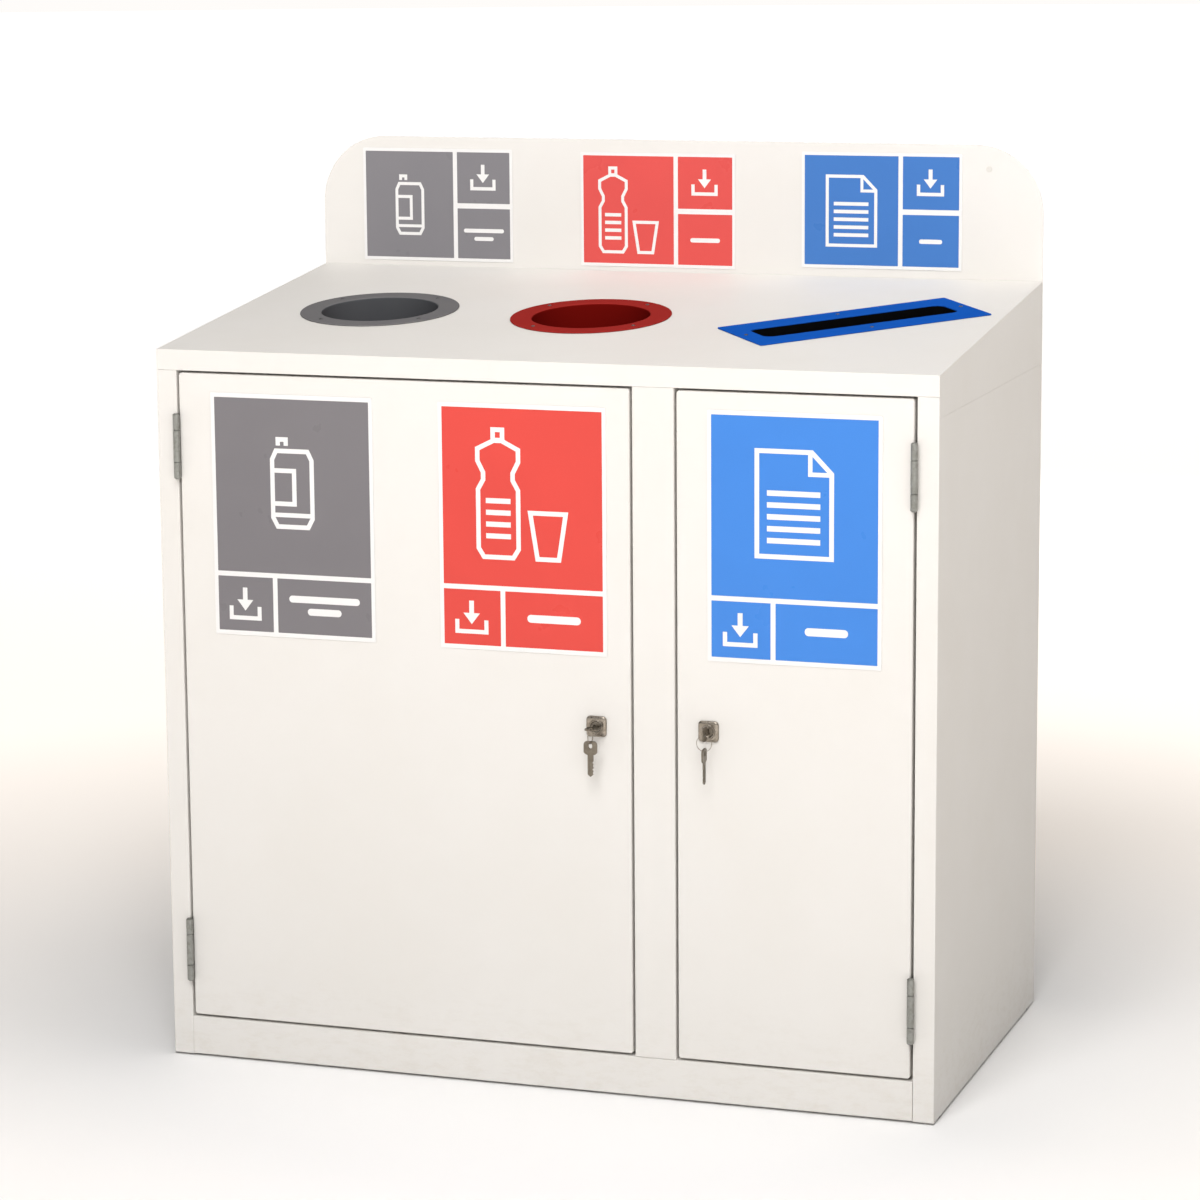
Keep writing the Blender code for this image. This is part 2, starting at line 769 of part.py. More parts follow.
def key_outline():
    """A flat key with its bow's end at 0 and its tip towards +x, and the oval hole in the bow."""
    r = 4.6
    outline = []
    for step in range(5):
        angle = math.pi + math.pi / 2 * step / 4
        outline.append((r + r * math.cos(angle), -KEY_HALF + r + r * math.sin(angle)))
    outline += [(KEY_BOW - 3.2, -KEY_HALF), (KEY_BOW - 1.0, -KEY_HALF + 2.2), (KEY_BOW, -3.5)]
    blade = KEY_LENGTH - KEY_BOW
    for start, depth in ((0.30, 1.3), (0.46, 0.7), (0.62, 1.5), (0.78, 0.9)):
        u = KEY_BOW + blade * start
        outline += [(u, -3.5), (u + 1.0, -3.5 + depth), (u + 1.8, -3.5 + depth), (u + 2.8, -3.5)]
    outline += [(KEY_LENGTH - 2.6, -3.5), (KEY_LENGTH, -0.6), (KEY_LENGTH, 0.6), (KEY_LENGTH - 2.6, 3.5)]
    outline += [(KEY_BOW, 3.5), (KEY_BOW - 1.0, KEY_HALF - 2.2), (KEY_BOW - 3.2, KEY_HALF)]
    for step in range(5):
        angle = math.pi / 2 + math.pi / 2 * step / 4
        outline.append((r + r * math.cos(angle), KEY_HALF - r + r * math.sin(angle)))
    half, reach = KEY_HOLE
    hole = []
    for way in (1, -1):
        for step in range(7):
            angle = -math.pi / 2 + math.pi * step / 6
            hole.append(
                (
                    KEY_WEB + reach + way * (reach - half + half * math.cos(angle)),
                    way * half * math.sin(angle),
                )
            )
    return [outline, hole]


HOLE_BACK = KEY_WEB + KEY_HOLE[1]  # from the bow's end to the hole's centre
BOW_END = BOW_START - KEY_BOW

# Keys in their locks: the left one lies flat, and the right one stands on edge.
POINTING_IN = Matrix.Rotation(math.pi / 2, 4, "Z")
for side, turn in (("left", POINTING_IN), ("right", Matrix.Rotation(math.pi / 2, 4, "Y") @ POINTING_IN)):
    x, z = LOCK[side]
    extruded(side + "_key", key_outline(), KEY_THICK, (x, BOW_END, z), turn, LOCK_PIVOT[side], NICKEL)

# Key rings. The left one hangs over the end of the flat bow, in the plane of x.
# The right one hangs through the hole of the upright bow, in the plane of y.
DROP_LEFT = RING_R - WIRE_R - math.hypot(KEY_WEB, KEY_THICK) / 2 - 0.12
WEB_Y = BOW_END + KEY_WEB / 2
HOLE_Y = BOW_END + HOLE_BACK
HANG_RIGHT = KEY_HOLE[0] - WIRE_R - 0.12
RING_AT = {
    "left": (LOCK["left"][0], WEB_Y - RING_LEAN, LOCK["left"][1] - DROP_LEFT),
    "right": (LOCK["right"][0], HOLE_Y, LOCK["right"][1] - HANG_RIGHT - RING_R),
}
RING_PIVOT = {
    "left": pivot("left_ring_pivot", (LOCK["left"][0], WEB_Y, LOCK["left"][1]), LOCK_PIVOT["left"]),
    "right": pivot("right_ring_pivot", (LOCK["right"][0], HOLE_Y, LOCK["right"][1] - HANG_RIGHT), LOCK_PIVOT["right"]),
}


def ring(side):
    """A wire ring: a circular curve with a round section."""
    curve = bpy.data.curves.new(side + "_key_ring", "CURVE")
    curve.dimensions = "3D"
    curve.bevel_depth = WIRE_R * MM
    curve.bevel_resolution = 1
    spline = curve.splines.new("POLY")
    steps = 28
    spline.points.add(steps - 1)
    for i, point in enumerate(spline.points):
        angle = 2 * math.pi * (i + 0.5) / steps
        point.co = (RING_R * math.cos(angle) * MM, RING_R * math.sin(angle) * MM, 0.0, 1.0)
    spline.use_cyclic_u = True
    obj = shown(bpy.data.objects.new(side + "_key_ring", curve), NICKEL, False)
    placed(obj, RING_AT[side], RING_PIVOT[side], ALONG_X if side == "left" else ALONG_Y)


ring("left")
ring("right")

# Spare keys, hanging from the bottom of the rings by the far side of their holes.
HANG = KEY_HOLE[1] - WIRE_R - 0.12
POINTING_DOWN = Matrix.Rotation(math.pi / 2, 4, "Y")
for side in ("left", "right"):
    x, y, z = RING_AT[side]
    wire = (x, y, z - RING_R)
    body = pivot(side + "_spare_pivot", wire, RING_PIVOT[side])
    bow_end = z - RING_R - HANG + HOLE_BACK
    turn = Matrix.Rotation(math.pi / 2, 4, "Z") @ POINTING_DOWN
    if side == "right":
        turn = POINTING_DOWN
    extruded(
        side + "_spare_key",
        key_outline(),
        KEY_THICK,
        (x, y, bow_end),
        turn,
        body,
        NICKEL,
    )
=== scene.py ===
import math

import bmesh
import bpy
from mathutils import Matrix, Vector
from mathutils.geometry import tessellate_polygon


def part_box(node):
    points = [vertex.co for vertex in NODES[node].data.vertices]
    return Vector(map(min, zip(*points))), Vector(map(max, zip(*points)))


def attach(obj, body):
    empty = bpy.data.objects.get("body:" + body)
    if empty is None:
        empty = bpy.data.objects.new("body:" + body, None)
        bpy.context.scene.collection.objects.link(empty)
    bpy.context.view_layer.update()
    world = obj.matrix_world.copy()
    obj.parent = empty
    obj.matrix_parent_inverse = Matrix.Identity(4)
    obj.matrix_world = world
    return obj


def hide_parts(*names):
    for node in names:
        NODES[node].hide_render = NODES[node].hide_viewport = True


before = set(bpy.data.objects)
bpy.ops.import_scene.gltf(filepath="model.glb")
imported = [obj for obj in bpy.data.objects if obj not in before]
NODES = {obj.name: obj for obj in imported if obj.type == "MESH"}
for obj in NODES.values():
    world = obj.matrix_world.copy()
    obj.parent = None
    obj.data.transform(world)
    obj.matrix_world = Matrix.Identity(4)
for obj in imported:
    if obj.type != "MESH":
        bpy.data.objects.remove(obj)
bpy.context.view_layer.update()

# The looks of a recycling bin station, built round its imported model. Lengths below are millimetres in the station's own
# frame: x from its left side, y from its front plane to its back, z up from the floor.

MM = 0.001
CORNER = Vector((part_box("back_panel")[0].x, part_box("back_panel")[1].y - 540.0 * MM, 0.0))
SLOPE = math.atan(0.1)
SHEET = 1.2


def at(x, y, z):
    """A point of the station's frame in the row frame."""
    return CORNER + Vector((x, y, z)) * MM


def mm_box(node):
    """A CAD node's box in the station's frame, in millimetres."""
    low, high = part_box(node)
    return (low - CORNER) / MM, (high - CORNER) / MM


# ------------------------------------------------------------------------------------------------ materials


def linear(r, g, b):
    """sRGB 0 to 255 as linear colour."""
    made = []
    for value in (r, g, b):
        value /= 255.0
        made.append(value / 12.92 if value <= 0.04045 else ((value + 0.055) / 1.055) ** 2.4)
    return tuple(made)


class Surface:
    """A procedural material on a Principled shader, put together from a few kinds of detail in object space."""

    def __init__(self, name, colour, roughness, metallic=0.0, **sockets):
        self.material = bpy.data.materials.new(name)
        self.material.use_nodes = True
        self.tree = self.material.node_tree
        self.shader = self.tree.nodes["Principled BSDF"]
        self.colour = colour
        self.roughness = roughness
        self.shader.inputs["Base Color"].default_value = (*colour, 1.0)
        self.shader.inputs["Roughness"].default_value = roughness
        self.shader.inputs["Metallic"].default_value = metallic
        for socket, value in sockets.items():
            self.shader.inputs[socket.replace("_", " ")].default_value = value
        self.place = self.node("ShaderNodeTexCoord").outputs["Object"]
        self.shade = None
        self.normal = None
        self.rough = None

    def node(self, kind, **settings):
        made = self.tree.nodes.new(kind)
        for key, value in settings.items():
            if key in made.inputs.keys():
                made.inputs[key].default_value = value
            else:
                setattr(made, key, value)
        return made

    def link(self, a, b):
        self.tree.links.new(a, b)

    def stretched(self, scale):
        mapping = self.node("ShaderNodeMapping")
        mapping.inputs["Scale"].default_value = scale
        self.link(self.place, mapping.inputs["Vector"])
        return mapping.outputs["Vector"]

    def noise(self, size_mm, detail=3.0, roughness=0.55, stretch=None):
        made = self.node("ShaderNodeTexNoise")
        made.inputs["Scale"].default_value = 1.0 / (size_mm * MM)
        made.inputs["Detail"].default_value = detail
        made.inputs["Roughness"].default_value = roughness
        self.link(self.stretched(stretch) if stretch else self.place, made.inputs["Vector"])
        return made.outputs["Fac"]

    def ramp(self, value, stops):
        made = self.node("ShaderNodeValToRGB")
        while len(made.color_ramp.elements) < len(stops):
            made.color_ramp.elements.new(0.5)
        for element, (position, colour) in zip(made.color_ramp.elements, stops):
            element.position = position
            element.color = (*colour, 1.0)
        self.link(value, made.inputs["Fac"])
        return made.outputs["Color"]

    def remap(self, value, low, high, to_low, to_high):
        made = self.node("ShaderNodeMapRange")
        for socket, number in (("From Min", low), ("From Max", high), ("To Min", to_low), ("To Max", to_high)):
            made.inputs[socket].default_value = number
        self.link(value, made.inputs["Value"])
        return made.outputs["Result"]

    def tint(self, value, darker, low=0.35, high=0.65):
        """The base colour, going to darker (a tuple of factors) where value is high."""
        other = tuple(c * d for c, d in zip(self.colour, darker))
        colour = self.ramp(value, ((low, self.colour), (high, other)))
        if self.shade is not None:
            mix = self.node("ShaderNodeMix", data_type="RGBA", blend_type="MULTIPLY")
            mix.inputs["Factor"].default_value = 1.0
            flat = self.ramp(value, ((low, (1, 1, 1)), (high, darker)))
            self.link(self.shade, mix.inputs[6])
            self.link(flat, mix.inputs[7])
            colour = mix.outputs[2]
        self.shade = colour
        self.link(colour, self.shader.inputs["Base Color"])

    def vary(self, value, amount, low=0.3, high=0.7):
        """Roughness that goes amount up and down with value."""
        result = self.remap(value, low, high, self.roughness - amount, self.roughness + amount)
        if self.rough is not None:
            add = self.node("ShaderNodeMath", operation="ADD")
            self.link(self.rough, add.inputs[0])
            self.link(self.remap(value, low, high, -amount, amount), add.inputs[1])
            result = add.outputs["Value"]
        self.rough = result
        self.link(result, self.shader.inputs["Roughness"])

    def bump(self, value, height_mm, strength=1.0):
        made = self.node("ShaderNodeBump")
        made.inputs["Strength"].default_value = strength
        made.inputs["Distance"].default_value = height_mm * MM
        self.link(value, made.inputs["Height"])
        if self.normal is not None:
            self.link(self.normal, made.inputs["Normal"])
        self.normal = made.outputs["Normal"]
        self.link(self.normal, self.shader.inputs["Normal"])

    def low_down(self, top_mm, bottom_mm):
        """1 near the floor, 0 above top_mm."""
        split = self.node("ShaderNodeSeparateXYZ")
        self.link(self.place, split.inputs["Vector"])
        return self.remap(split.outputs["Z"], bottom_mm * MM, top_mm * MM, 1.0, 0.0)

    def times(self, a, b):
        made = self.node("ShaderNodeMath", operation="MULTIPLY")
        self.link(a, made.inputs[0])
        self.link(b, made.inputs[1])
        return made.outputs["Value"]


def powder_coat(name, colour, roughness=0.42, peel=0.018, cloud=(0.985, 0.982, 0.975), floor_shade=None):
    """Sprayed and baked powder: orange peel, faint clouding, and painted shade in patches low down."""
    made = Surface(name, colour, roughness, IOR=1.45, Specular_IOR_Level=0.08)
    made.tint(made.noise(160, 3.0), cloud, 0.38, 0.66)
    fine = made.noise(1.1, 2.0, 0.5)
    speck = made.noise(2.6, 4.0, 0.7)
    made.tint(speck, (0.972, 0.968, 0.960), 0.66, 0.74)
    # Darker patches in the lowest 150 mm: painted shade near the floor.
    if floor_shade:
        shade_patches = made.noise(22, 5.0, 0.7, (1.0, 1.0, 2.4))
        made.tint(made.times(made.low_down(150, 4), made.remap(shade_patches, 0.45, 0.75, 0.0, 1.0)), floor_shade, 0.05, 0.9)
    made.vary(made.noise(55, 3.0), 0.04)
    made.vary(speck, 0.03)
    made.bump(made.noise(4.5, 2.0, 0.5), peel)
    made.bump(fine, peel * 0.35)
    return made.material


WHITE = powder_coat("white_powder_coat", linear(224, 221.5, 217.5), 0.52, floor_shade=(0.93, 0.915, 0.89))
INSIDE = powder_coat("white_powder_inside", linear(220, 217, 212), 0.46, floor_shade=(0.90, 0.88, 0.85))


def enamel(name, colour, roughness=0.42):
    made = Surface(name, colour, roughness, IOR=1.45, Specular_IOR_Level=0.0)
    made.tint(made.noise(70, 3.0), (0.94, 0.94, 0.95), 0.36, 0.68)
    scratch = made.noise(9, 6.0, 0.75, (1.0, 3.2, 1.0))
    made.tint(scratch, (1.12, 1.12, 1.12), 0.68, 0.78)
    made.vary(made.noise(26, 4.0), 0.06)
    made.vary(scratch, 0.05, 0.5, 0.8)
    made.bump(made.noise(3.4, 2.0, 0.5), 0.014)
    made.bump(made.noise(0.9, 2.0, 0.5), 0.004)
    return made.material


GREY = enamel("grey_enamel", linear(113, 112, 113))
RED = enamel("red_enamel", linear(152, 44, 40))
# The throat colours are darker copies of the grey and red enamel: painted shade inside the openings.
GREY_THROAT_SHADE = enamel("grey_enamel_throat_painted_shade", linear(86, 87, 90), 0.5)
RED_THROAT_SHADE = enamel("red_enamel_throat_painted_shade", linear(116, 16, 12), 0.5)
BLUE = enamel("blue_enamel", linear(24, 85, 178))


def vinyl(name, colour, roughness=0.32):
    """Printed film on a thin board: almost flat, with a slow ripple and a fine print grain."""
    made = Surface(name, colour, roughness, IOR=1.45, Specular_IOR_Level=0.22)
    made.tint(made.noise(120, 2.0), (0.965, 0.965, 0.97), 0.38, 0.66)
    made.tint(made.noise(0.7, 2.0, 0.6), (0.975, 0.975, 0.975), 0.45, 0.6)
    made.vary(made.noise(45, 3.0), 0.05)
    made.bump(made.noise(38, 2.0, 0.4), 0.05)
    made.bump(made.noise(1.6, 2.0, 0.5), 0.003)
    return made.material


FILM_WHITE = vinyl("sign_white_film", linear(232, 231, 230), 0.30)
FILM_GREY = vinyl("sign_grey_film", linear(121, 118, 121))
FILM_RED = vinyl("sign_red_film", linear(214, 74, 66))
FILM_BLUE = vinyl("sign_blue_film", linear(66, 130, 212))
FILM_GREY_UP = vinyl("board_grey_film", linear(128, 126, 130))
FILM_RED_UP = vinyl("board_red_film", linear(216, 82, 78))
FILM_BLUE_UP = vinyl("board_blue_film", linear(66, 118, 188))


def plated(name, colour, roughness, grain=(1.0, 1.0, 0.06), dull=(0.72, 0.71, 0.69)):
    """Plated steel: drawn grain, cloudy passivation, dull spots and fine scratches."""
    made = Surface(name, colour, roughness, 1.0)
    made.tint(made.noise(7, 4.0, 0.6), dull, 0.42, 0.72)
    made.tint(made.noise(1.4, 5.0, 0.7), (0.82, 0.81, 0.80), 0.56, 0.72)
    drawn = made.noise(0.5, 3.0, 0.6, grain)
    made.vary(drawn, 0.07)
    made.vary(made.noise(3.5, 4.0), 0.08)
    made.bump(drawn, 0.006)
    made.bump(made.noise(2.2, 4.0, 0.7), 0.012)
    return made.material


ZINC = plated("zinc_plate", (0.315, 0.32, 0.30), 0.38)
ZINC_DARK = plated("zinc_plate_fixings", (0.13, 0.13, 0.13), 0.42, (1, 1, 1))
NICKEL = plated("nickel_plate", (0.33, 0.295, 0.25), 0.30, (1.0, 1.0, 1.0), (0.78, 0.76, 0.72))
NICKEL_DARK = plated("nickel_plate_worn", (0.20, 0.178, 0.145), 0.34, (1.0, 1.0, 0.2), (0.74, 0.71, 0.66))


def galvanised():
    """Hot-dip zinc with its spangle and a grey bloom."""
    made = Surface("galvanised_steel", (0.57, 0.585, 0.60), 0.42, 1.0)
    cells = made.node("ShaderNodeTexVoronoi", feature="F1")
    cells.inputs["Scale"].default_value = 1.0 / (15 * MM)
    cells.inputs["Randomness"].default_value = 1.0
    warp = made.node("ShaderNodeMix", data_type="VECTOR")
    warp.inputs["Factor"].default_value = 0.012
    wobble = made.node("ShaderNodeTexNoise")
    wobble.inputs["Scale"].default_value = 1.0 / (8 * MM)
    made.link(made.place, wobble.inputs["Vector"])
    made.link(made.place, warp.inputs[4])
    made.link(wobble.outputs["Color"], warp.inputs[5])
    made.link(warp.outputs[1], cells.inputs["Vector"])
    shade = made.node("ShaderNodeSeparateColor")
    made.link(cells.outputs["Color"], shade.inputs["Color"])
    made.tint(shade.outputs["Red"], (0.74, 0.75, 0.77), 0.1, 0.9)
    made.tint(made.noise(60, 4.0), (0.84, 0.84, 0.83), 0.42, 0.68)
    made.vary(shade.outputs["Green"], 0.10, 0.0, 1.0)
    made.bump(shade.outputs["Blue"], 0.006)
    made.bump(made.noise(5, 3.0), 0.02)
    return made.material


GALVANISED = galvanised()


def moulded(name, colour, roughness=0.55):
    """Moulded plastic with a spark-eroded grain and rubbed patches."""
    made = Surface(name, colour, roughness, IOR=1.45, Specular_IOR_Level=0.0)
    made.tint(made.noise(14, 4.0), (1.35, 1.35, 1.38), 0.5, 0.8)
    made.vary(made.noise(9, 3.0), 0.09)
    made.bump(made.noise(0.45, 2.0, 0.5), 0.03)
    return made.material


BLACK = moulded("black_plastic", (0.004, 0.004, 0.0045), 0.6)
NYLON = moulded("grey_nylon", (0.055, 0.055, 0.057), 0.5)
PLUG_CAP = powder_coat("white_plug_cap", linear(214, 211, 205), 0.5)
# A near-black for the inside of a keyway: painted shade.
DARK = Surface("keyway_painted_shade", (0.012, 0.011, 0.010), 0.7)
DARK.vary(DARK.noise(1.0), 0.1)
DARK.bump(DARK.noise(0.5), 0.01)
DARK = DARK.material

# ------------------------------------------------------------------------------------------------ mesh helpers


def piece(name, shape, surface, body, *nodes, slot=None, weight=True, sharp=None):
    """A finished bmesh as a piece that rides on a body and stands for CAD nodes."""
    bmesh.ops.recalc_face_normals(shape, faces=shape.faces)
    data = bpy.data.meshes.new(name)
    shape.to_mesh(data)
    shape.free()
    return dress(bpy.data.objects.new(name, data), surface, body, *nodes, slot=slot, weight=weight, sharp=sharp)


def dress(obj, surface, body, *nodes, slot=None, weight=True, sharp=None):
    if obj.name not in bpy.context.scene.collection.objects:
        bpy.context.scene.collection.objects.link(obj)
    obj.data.materials.clear()
    obj.data.materials.append(surface)
    obj.data.shade_smooth()
    if sharp:
        obj.data.set_sharp_from_angle(angle=math.radians(sharp))
    if weight:
        flat = obj.modifiers.new("flat_faces", "WEIGHTED_NORMAL")
        flat.keep_sharp = bool(sharp)
        flat.weight = 60
    if nodes:
        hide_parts(*nodes)
    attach(obj, body)
    return obj


def rounding(obj, width_mm, segments=2, angle=50.0, clamp=False):
    """Rounds what is still sharp, as a modifier ahead of the one that keeps flat faces flat."""
    made = obj.modifiers.new("rounded_edges", "BEVEL")
    made.width = width_mm * MM
    made.segments = segments
    made.limit_method = "ANGLE"
    made.angle_limit = math.radians(angle)
    made.use_clamp_overlap = clamp
    obj.modifiers.move(len(obj.modifiers) - 1, 0)
    return obj


def cad_shape(node):
    """A CAD node's mesh as a bmesh with its coplanar triangles joined."""
    shape = bmesh.new()
    shape.from_mesh(NODES[node].data)
    bmesh.ops.remove_doubles(shape, verts=shape.verts, dist=2e-6)
    bmesh.ops.dissolve_limit(shape, angle_limit=math.radians(0.4), verts=shape.verts, edges=shape.edges)
    bmesh.ops.recalc_face_normals(shape, faces=shape.faces)
    return shape


def bend_edges(shape, thick, radius, segments=4):
    """Rounds the folds of a sheet: the outside to radius and the inside to radius less thickness."""
    kind = shape.edges.layers.int.new("fold")
    narrow = set()
    for face in shape.faces:
        around = sum(edge.calc_length() for edge in face.edges)
        if 2 * face.calc_area() / max(around, 1e-9) < 1.35 * thick * MM:
            narrow.add(face)
    for edge in shape.edges:
        if len(edge.link_faces) != 2 or edge.calc_face_angle(0.0) < math.radians(20):
            continue
        if edge.link_faces[0] in narrow or edge.link_faces[1] in narrow:
            continue
        edge[kind] = 1 if edge.is_convex else 2
    for which, size in ((1, radius), (2, radius - thick)):
        chosen = [edge for edge in shape.edges if edge[kind] == which]
        for edge in chosen:
            edge[kind] = 0
        if chosen and size > 0:
            bmesh.ops.bevel(
                shape,
                geom=chosen,
                offset=size * MM,
                offset_type="OFFSET",
                segments=segments,
                profile=0.5,
                affect="EDGES",
                clamp_overlap=True,
            )
    return shape


def folded(node, name, surface, body, slot="white_powder_coat", thick=SHEET, radius=1.9, rim=0.22):
    """A CAD sheet part with real fold radii and softened cut edges."""
    shape = bend_edges(cad_shape(node), thick, radius)
    bmesh.ops.dissolve_degenerate(shape, dist=2e-6, edges=shape.edges)
    obj = piece(name, shape, surface, body, node, slot=slot, sharp=75)
    rounding(obj, rim, 2, 60.0)
    return obj


def softened(node, name, surface, body, slot, width=0.3, segments=2, angle=40.0):
    """A CAD part with its edges rounded."""
    obj = piece(name, cad_shape(node), surface, body, node, slot=slot)
    rounding(obj, width, segments, angle)
    return obj


def turned(profile, steps=96, turn=Matrix.Identity(4), where=Vector((0, 0, 0)), shape=None):
    """A closed profile of (radius, height) in millimetres, turned about z, then turned and moved into place."""
    shape = shape or bmesh.new()
    place = Matrix.Translation(where) @ turn
    rings = []
    for step in range(steps):
        angle = 2 * math.pi * step / steps
        rings.append(
            [
                shape.verts.new(place @ Vector((r * math.cos(angle) * MM, r * math.sin(angle) * MM, h * MM)))
                for r, h in profile
                if r > 1e-6
            ]
        )
    count = len(rings[0])
    on_axis = [h for r, h in profile if r <= 1e-6]
    closed = not on_axis
    for i in range(steps):
        a, b = rings[i], rings[(i + 1) % steps]
        for j in range(count if closed else count - 1):
            k = (j + 1) % count
            shape.faces.new((a[j], a[k], b[k], b[j]))
    if on_axis:
        shape.faces.new([ring[0] for ring in rings])
        shape.faces.new([ring[-1] for ring in rings])
    return shape


def arc(cx, cy, radius, start, end, steps):
    """Points of an arc, angles in degrees."""
    return [
        (
            cx + radius * math.cos(math.radians(start + (end - start) * i / steps)),
            cy + radius * math.sin(math.radians(start + (end - start) * i / steps)),
        )
        for i in range(steps + 1)
    ]


def rounded_box(width, height, radius, steps=8, centre=(0.0, 0.0)):
    points = []
    for corner, (sx, sy) in enumerate(((1, 1), (-1, 1), (-1, -1), (1, -1))):
        cx = centre[0] + sx * (width / 2 - radius)
        cy = centre[1] + sy * (height / 2 - radius)
        points += arc(cx, cy, radius, 90 * corner, 90 * corner + 90, steps)
    return points


def lofted(levels, place, shape=None, cap_first=True, cap_last=True, closed=False):
    """Loops of equal length, one above the other, joined by quads. place turns (a, b, level) in millimetres into a point."""
    shape = shape or bmesh.new()
    loops = [[shape.verts.new(place(a, b, h)) for a, b in outline] for outline, h in levels]
    pairs = list(zip(loops, loops[1:])) + ([(loops[-1], loops[0])] if closed else [])
    for low, high in pairs:
        for i in range(len(low)):
            k = (i + 1) % len(low)
            shape.faces.new((low[i], low[k], high[k], high[i]))
    if not closed:
        if cap_first:
            shape.faces.new(loops[0])
        if cap_last:
            shape.faces.new(loops[-1])
    return shape


def prism(loops, place, low, high, shape=None):
    """A flat outline with holes, given a thickness. place turns (a, b, depth) into a point."""
    shape = shape or bmesh.new()
    flat = [Vector((a, b, 0.0)) for loop in loops for a, b in loop]
    fronts = [shape.verts.new(place(p.x, p.y, low)) for p in flat]
    backs = [shape.verts.new(place(p.x, p.y, high)) for p in flat]
    for triangle in tessellate_polygon([[Vector((a, b, 0.0)) for a, b in loop] for loop in loops]):
        shape.faces.new([fronts[i] for i in triangle])
        shape.faces.new([backs[i] for i in reversed(triangle)])
    start = 0
    for loop in loops:
        count = len(loop)
        for i in range(count):
            a, b = start + i, start + (i + 1) % count
            shape.faces.new((fronts[a], fronts[b], backs[b], backs[a]))
        start += count
    return shape


def cut_away(obj, cutters):
    """Takes the cutters' shapes out of a piece, and applies it."""
    made = []
    for cutter in cutters:
        bmesh.ops.recalc_face_normals(cutter, faces=cutter.faces)
        data = bpy.data.meshes.new("cutter")
        cutter.to_mesh(data)
        cutter.free()
        tool = bpy.data.objects.new("cutter", data)
        bpy.context.scene.collection.objects.link(tool)
        made.append(tool)
        step = obj.modifiers.new("cut", "BOOLEAN")
        step.operation = "DIFFERENCE"
        step.solver = "EXACT"
        step.object = tool
    order = [m for m in obj.modifiers if m.type == "BOOLEAN"]
    for i, step in enumerate(order):
        obj.modifiers.move(list(obj.modifiers).index(step), i)
    held = [(m.type, m) for m in obj.modifiers if m.type != "BOOLEAN"]
    for _, m in held:
        m.show_viewport = False
    bpy.context.view_layer.update()
    graph = bpy.context.evaluated_depsgraph_get()
    data = bpy.data.meshes.new_from_object(obj.evaluated_get(graph))
    for step in order:
        obj.modifiers.remove(step)
    old = obj.data
    obj.data = data
    data.name = obj.name
    bpy.data.meshes.remove(old)
    for _, m in held:
        m.show_viewport = True
    for tool in made:
        bpy.data.objects.remove(tool, do_unlink=True)
    return obj


ALONG_X = Matrix.Rotation(math.pi / 2, 4, "Y")
ALONG_Y = Matrix.Rotation(math.pi / 2, 4, "X")
OFF_LID = Matrix.Rotation(SLOPE, 4, "X")


def on_lid(x, up, height=0.0):
    return at(
        x,
        up * math.cos(SLOPE) - height * math.sin(SLOPE),
        887.0 + up * math.sin(SLOPE) + height * math.cos(SLOPE),
    )


# ------------------------------------------------------------------------------------------------ cabinet sheet

folded("top_hood", "hood_sheet", WHITE, "cabinet")
folded("left_side_panel", "left_side_sheet", WHITE, "cabinet", radius=1.25)
folded("right_side_panel", "right_side_sheet", WHITE, "cabinet", radius=1.25)
folded("plinth_rail", "plinth_sheet", WHITE, "cabinet")
folded("centre_mullion", "mullion_sheet", WHITE, "cabinet")
folded("bay_divider", "divider_sheet", INSIDE, "cabinet")
folded("floor_panel", "floor_tray", INSIDE, "cabinet")
softened("back_panel", "back_sheet", WHITE, "cabinet", "white_powder_coat", 0.3, 2)


def board():
    """The sign board: a plate with rounded upper corners and eased edges."""
    low, high = mm_box("sign_board")
    radius = 87.0
    outline = [(low.x, low.z), (high.x, low.z)]
    outline += arc(high.x - radius, high.z - radius, radius, 0, 90, 40)
    outline += arc(low.x + radius, high.z - radius, radius, 90, 180, 40)
    shape = prism([outline], lambda a, b, d: at(a, d, b), low.y, high.y)
    obj = piece("board_plate", shape, WHITE, "cabinet", "sign_board", slot="white_powder_coat")
    rounding(obj, 0.45, 3, 60.0)


board()


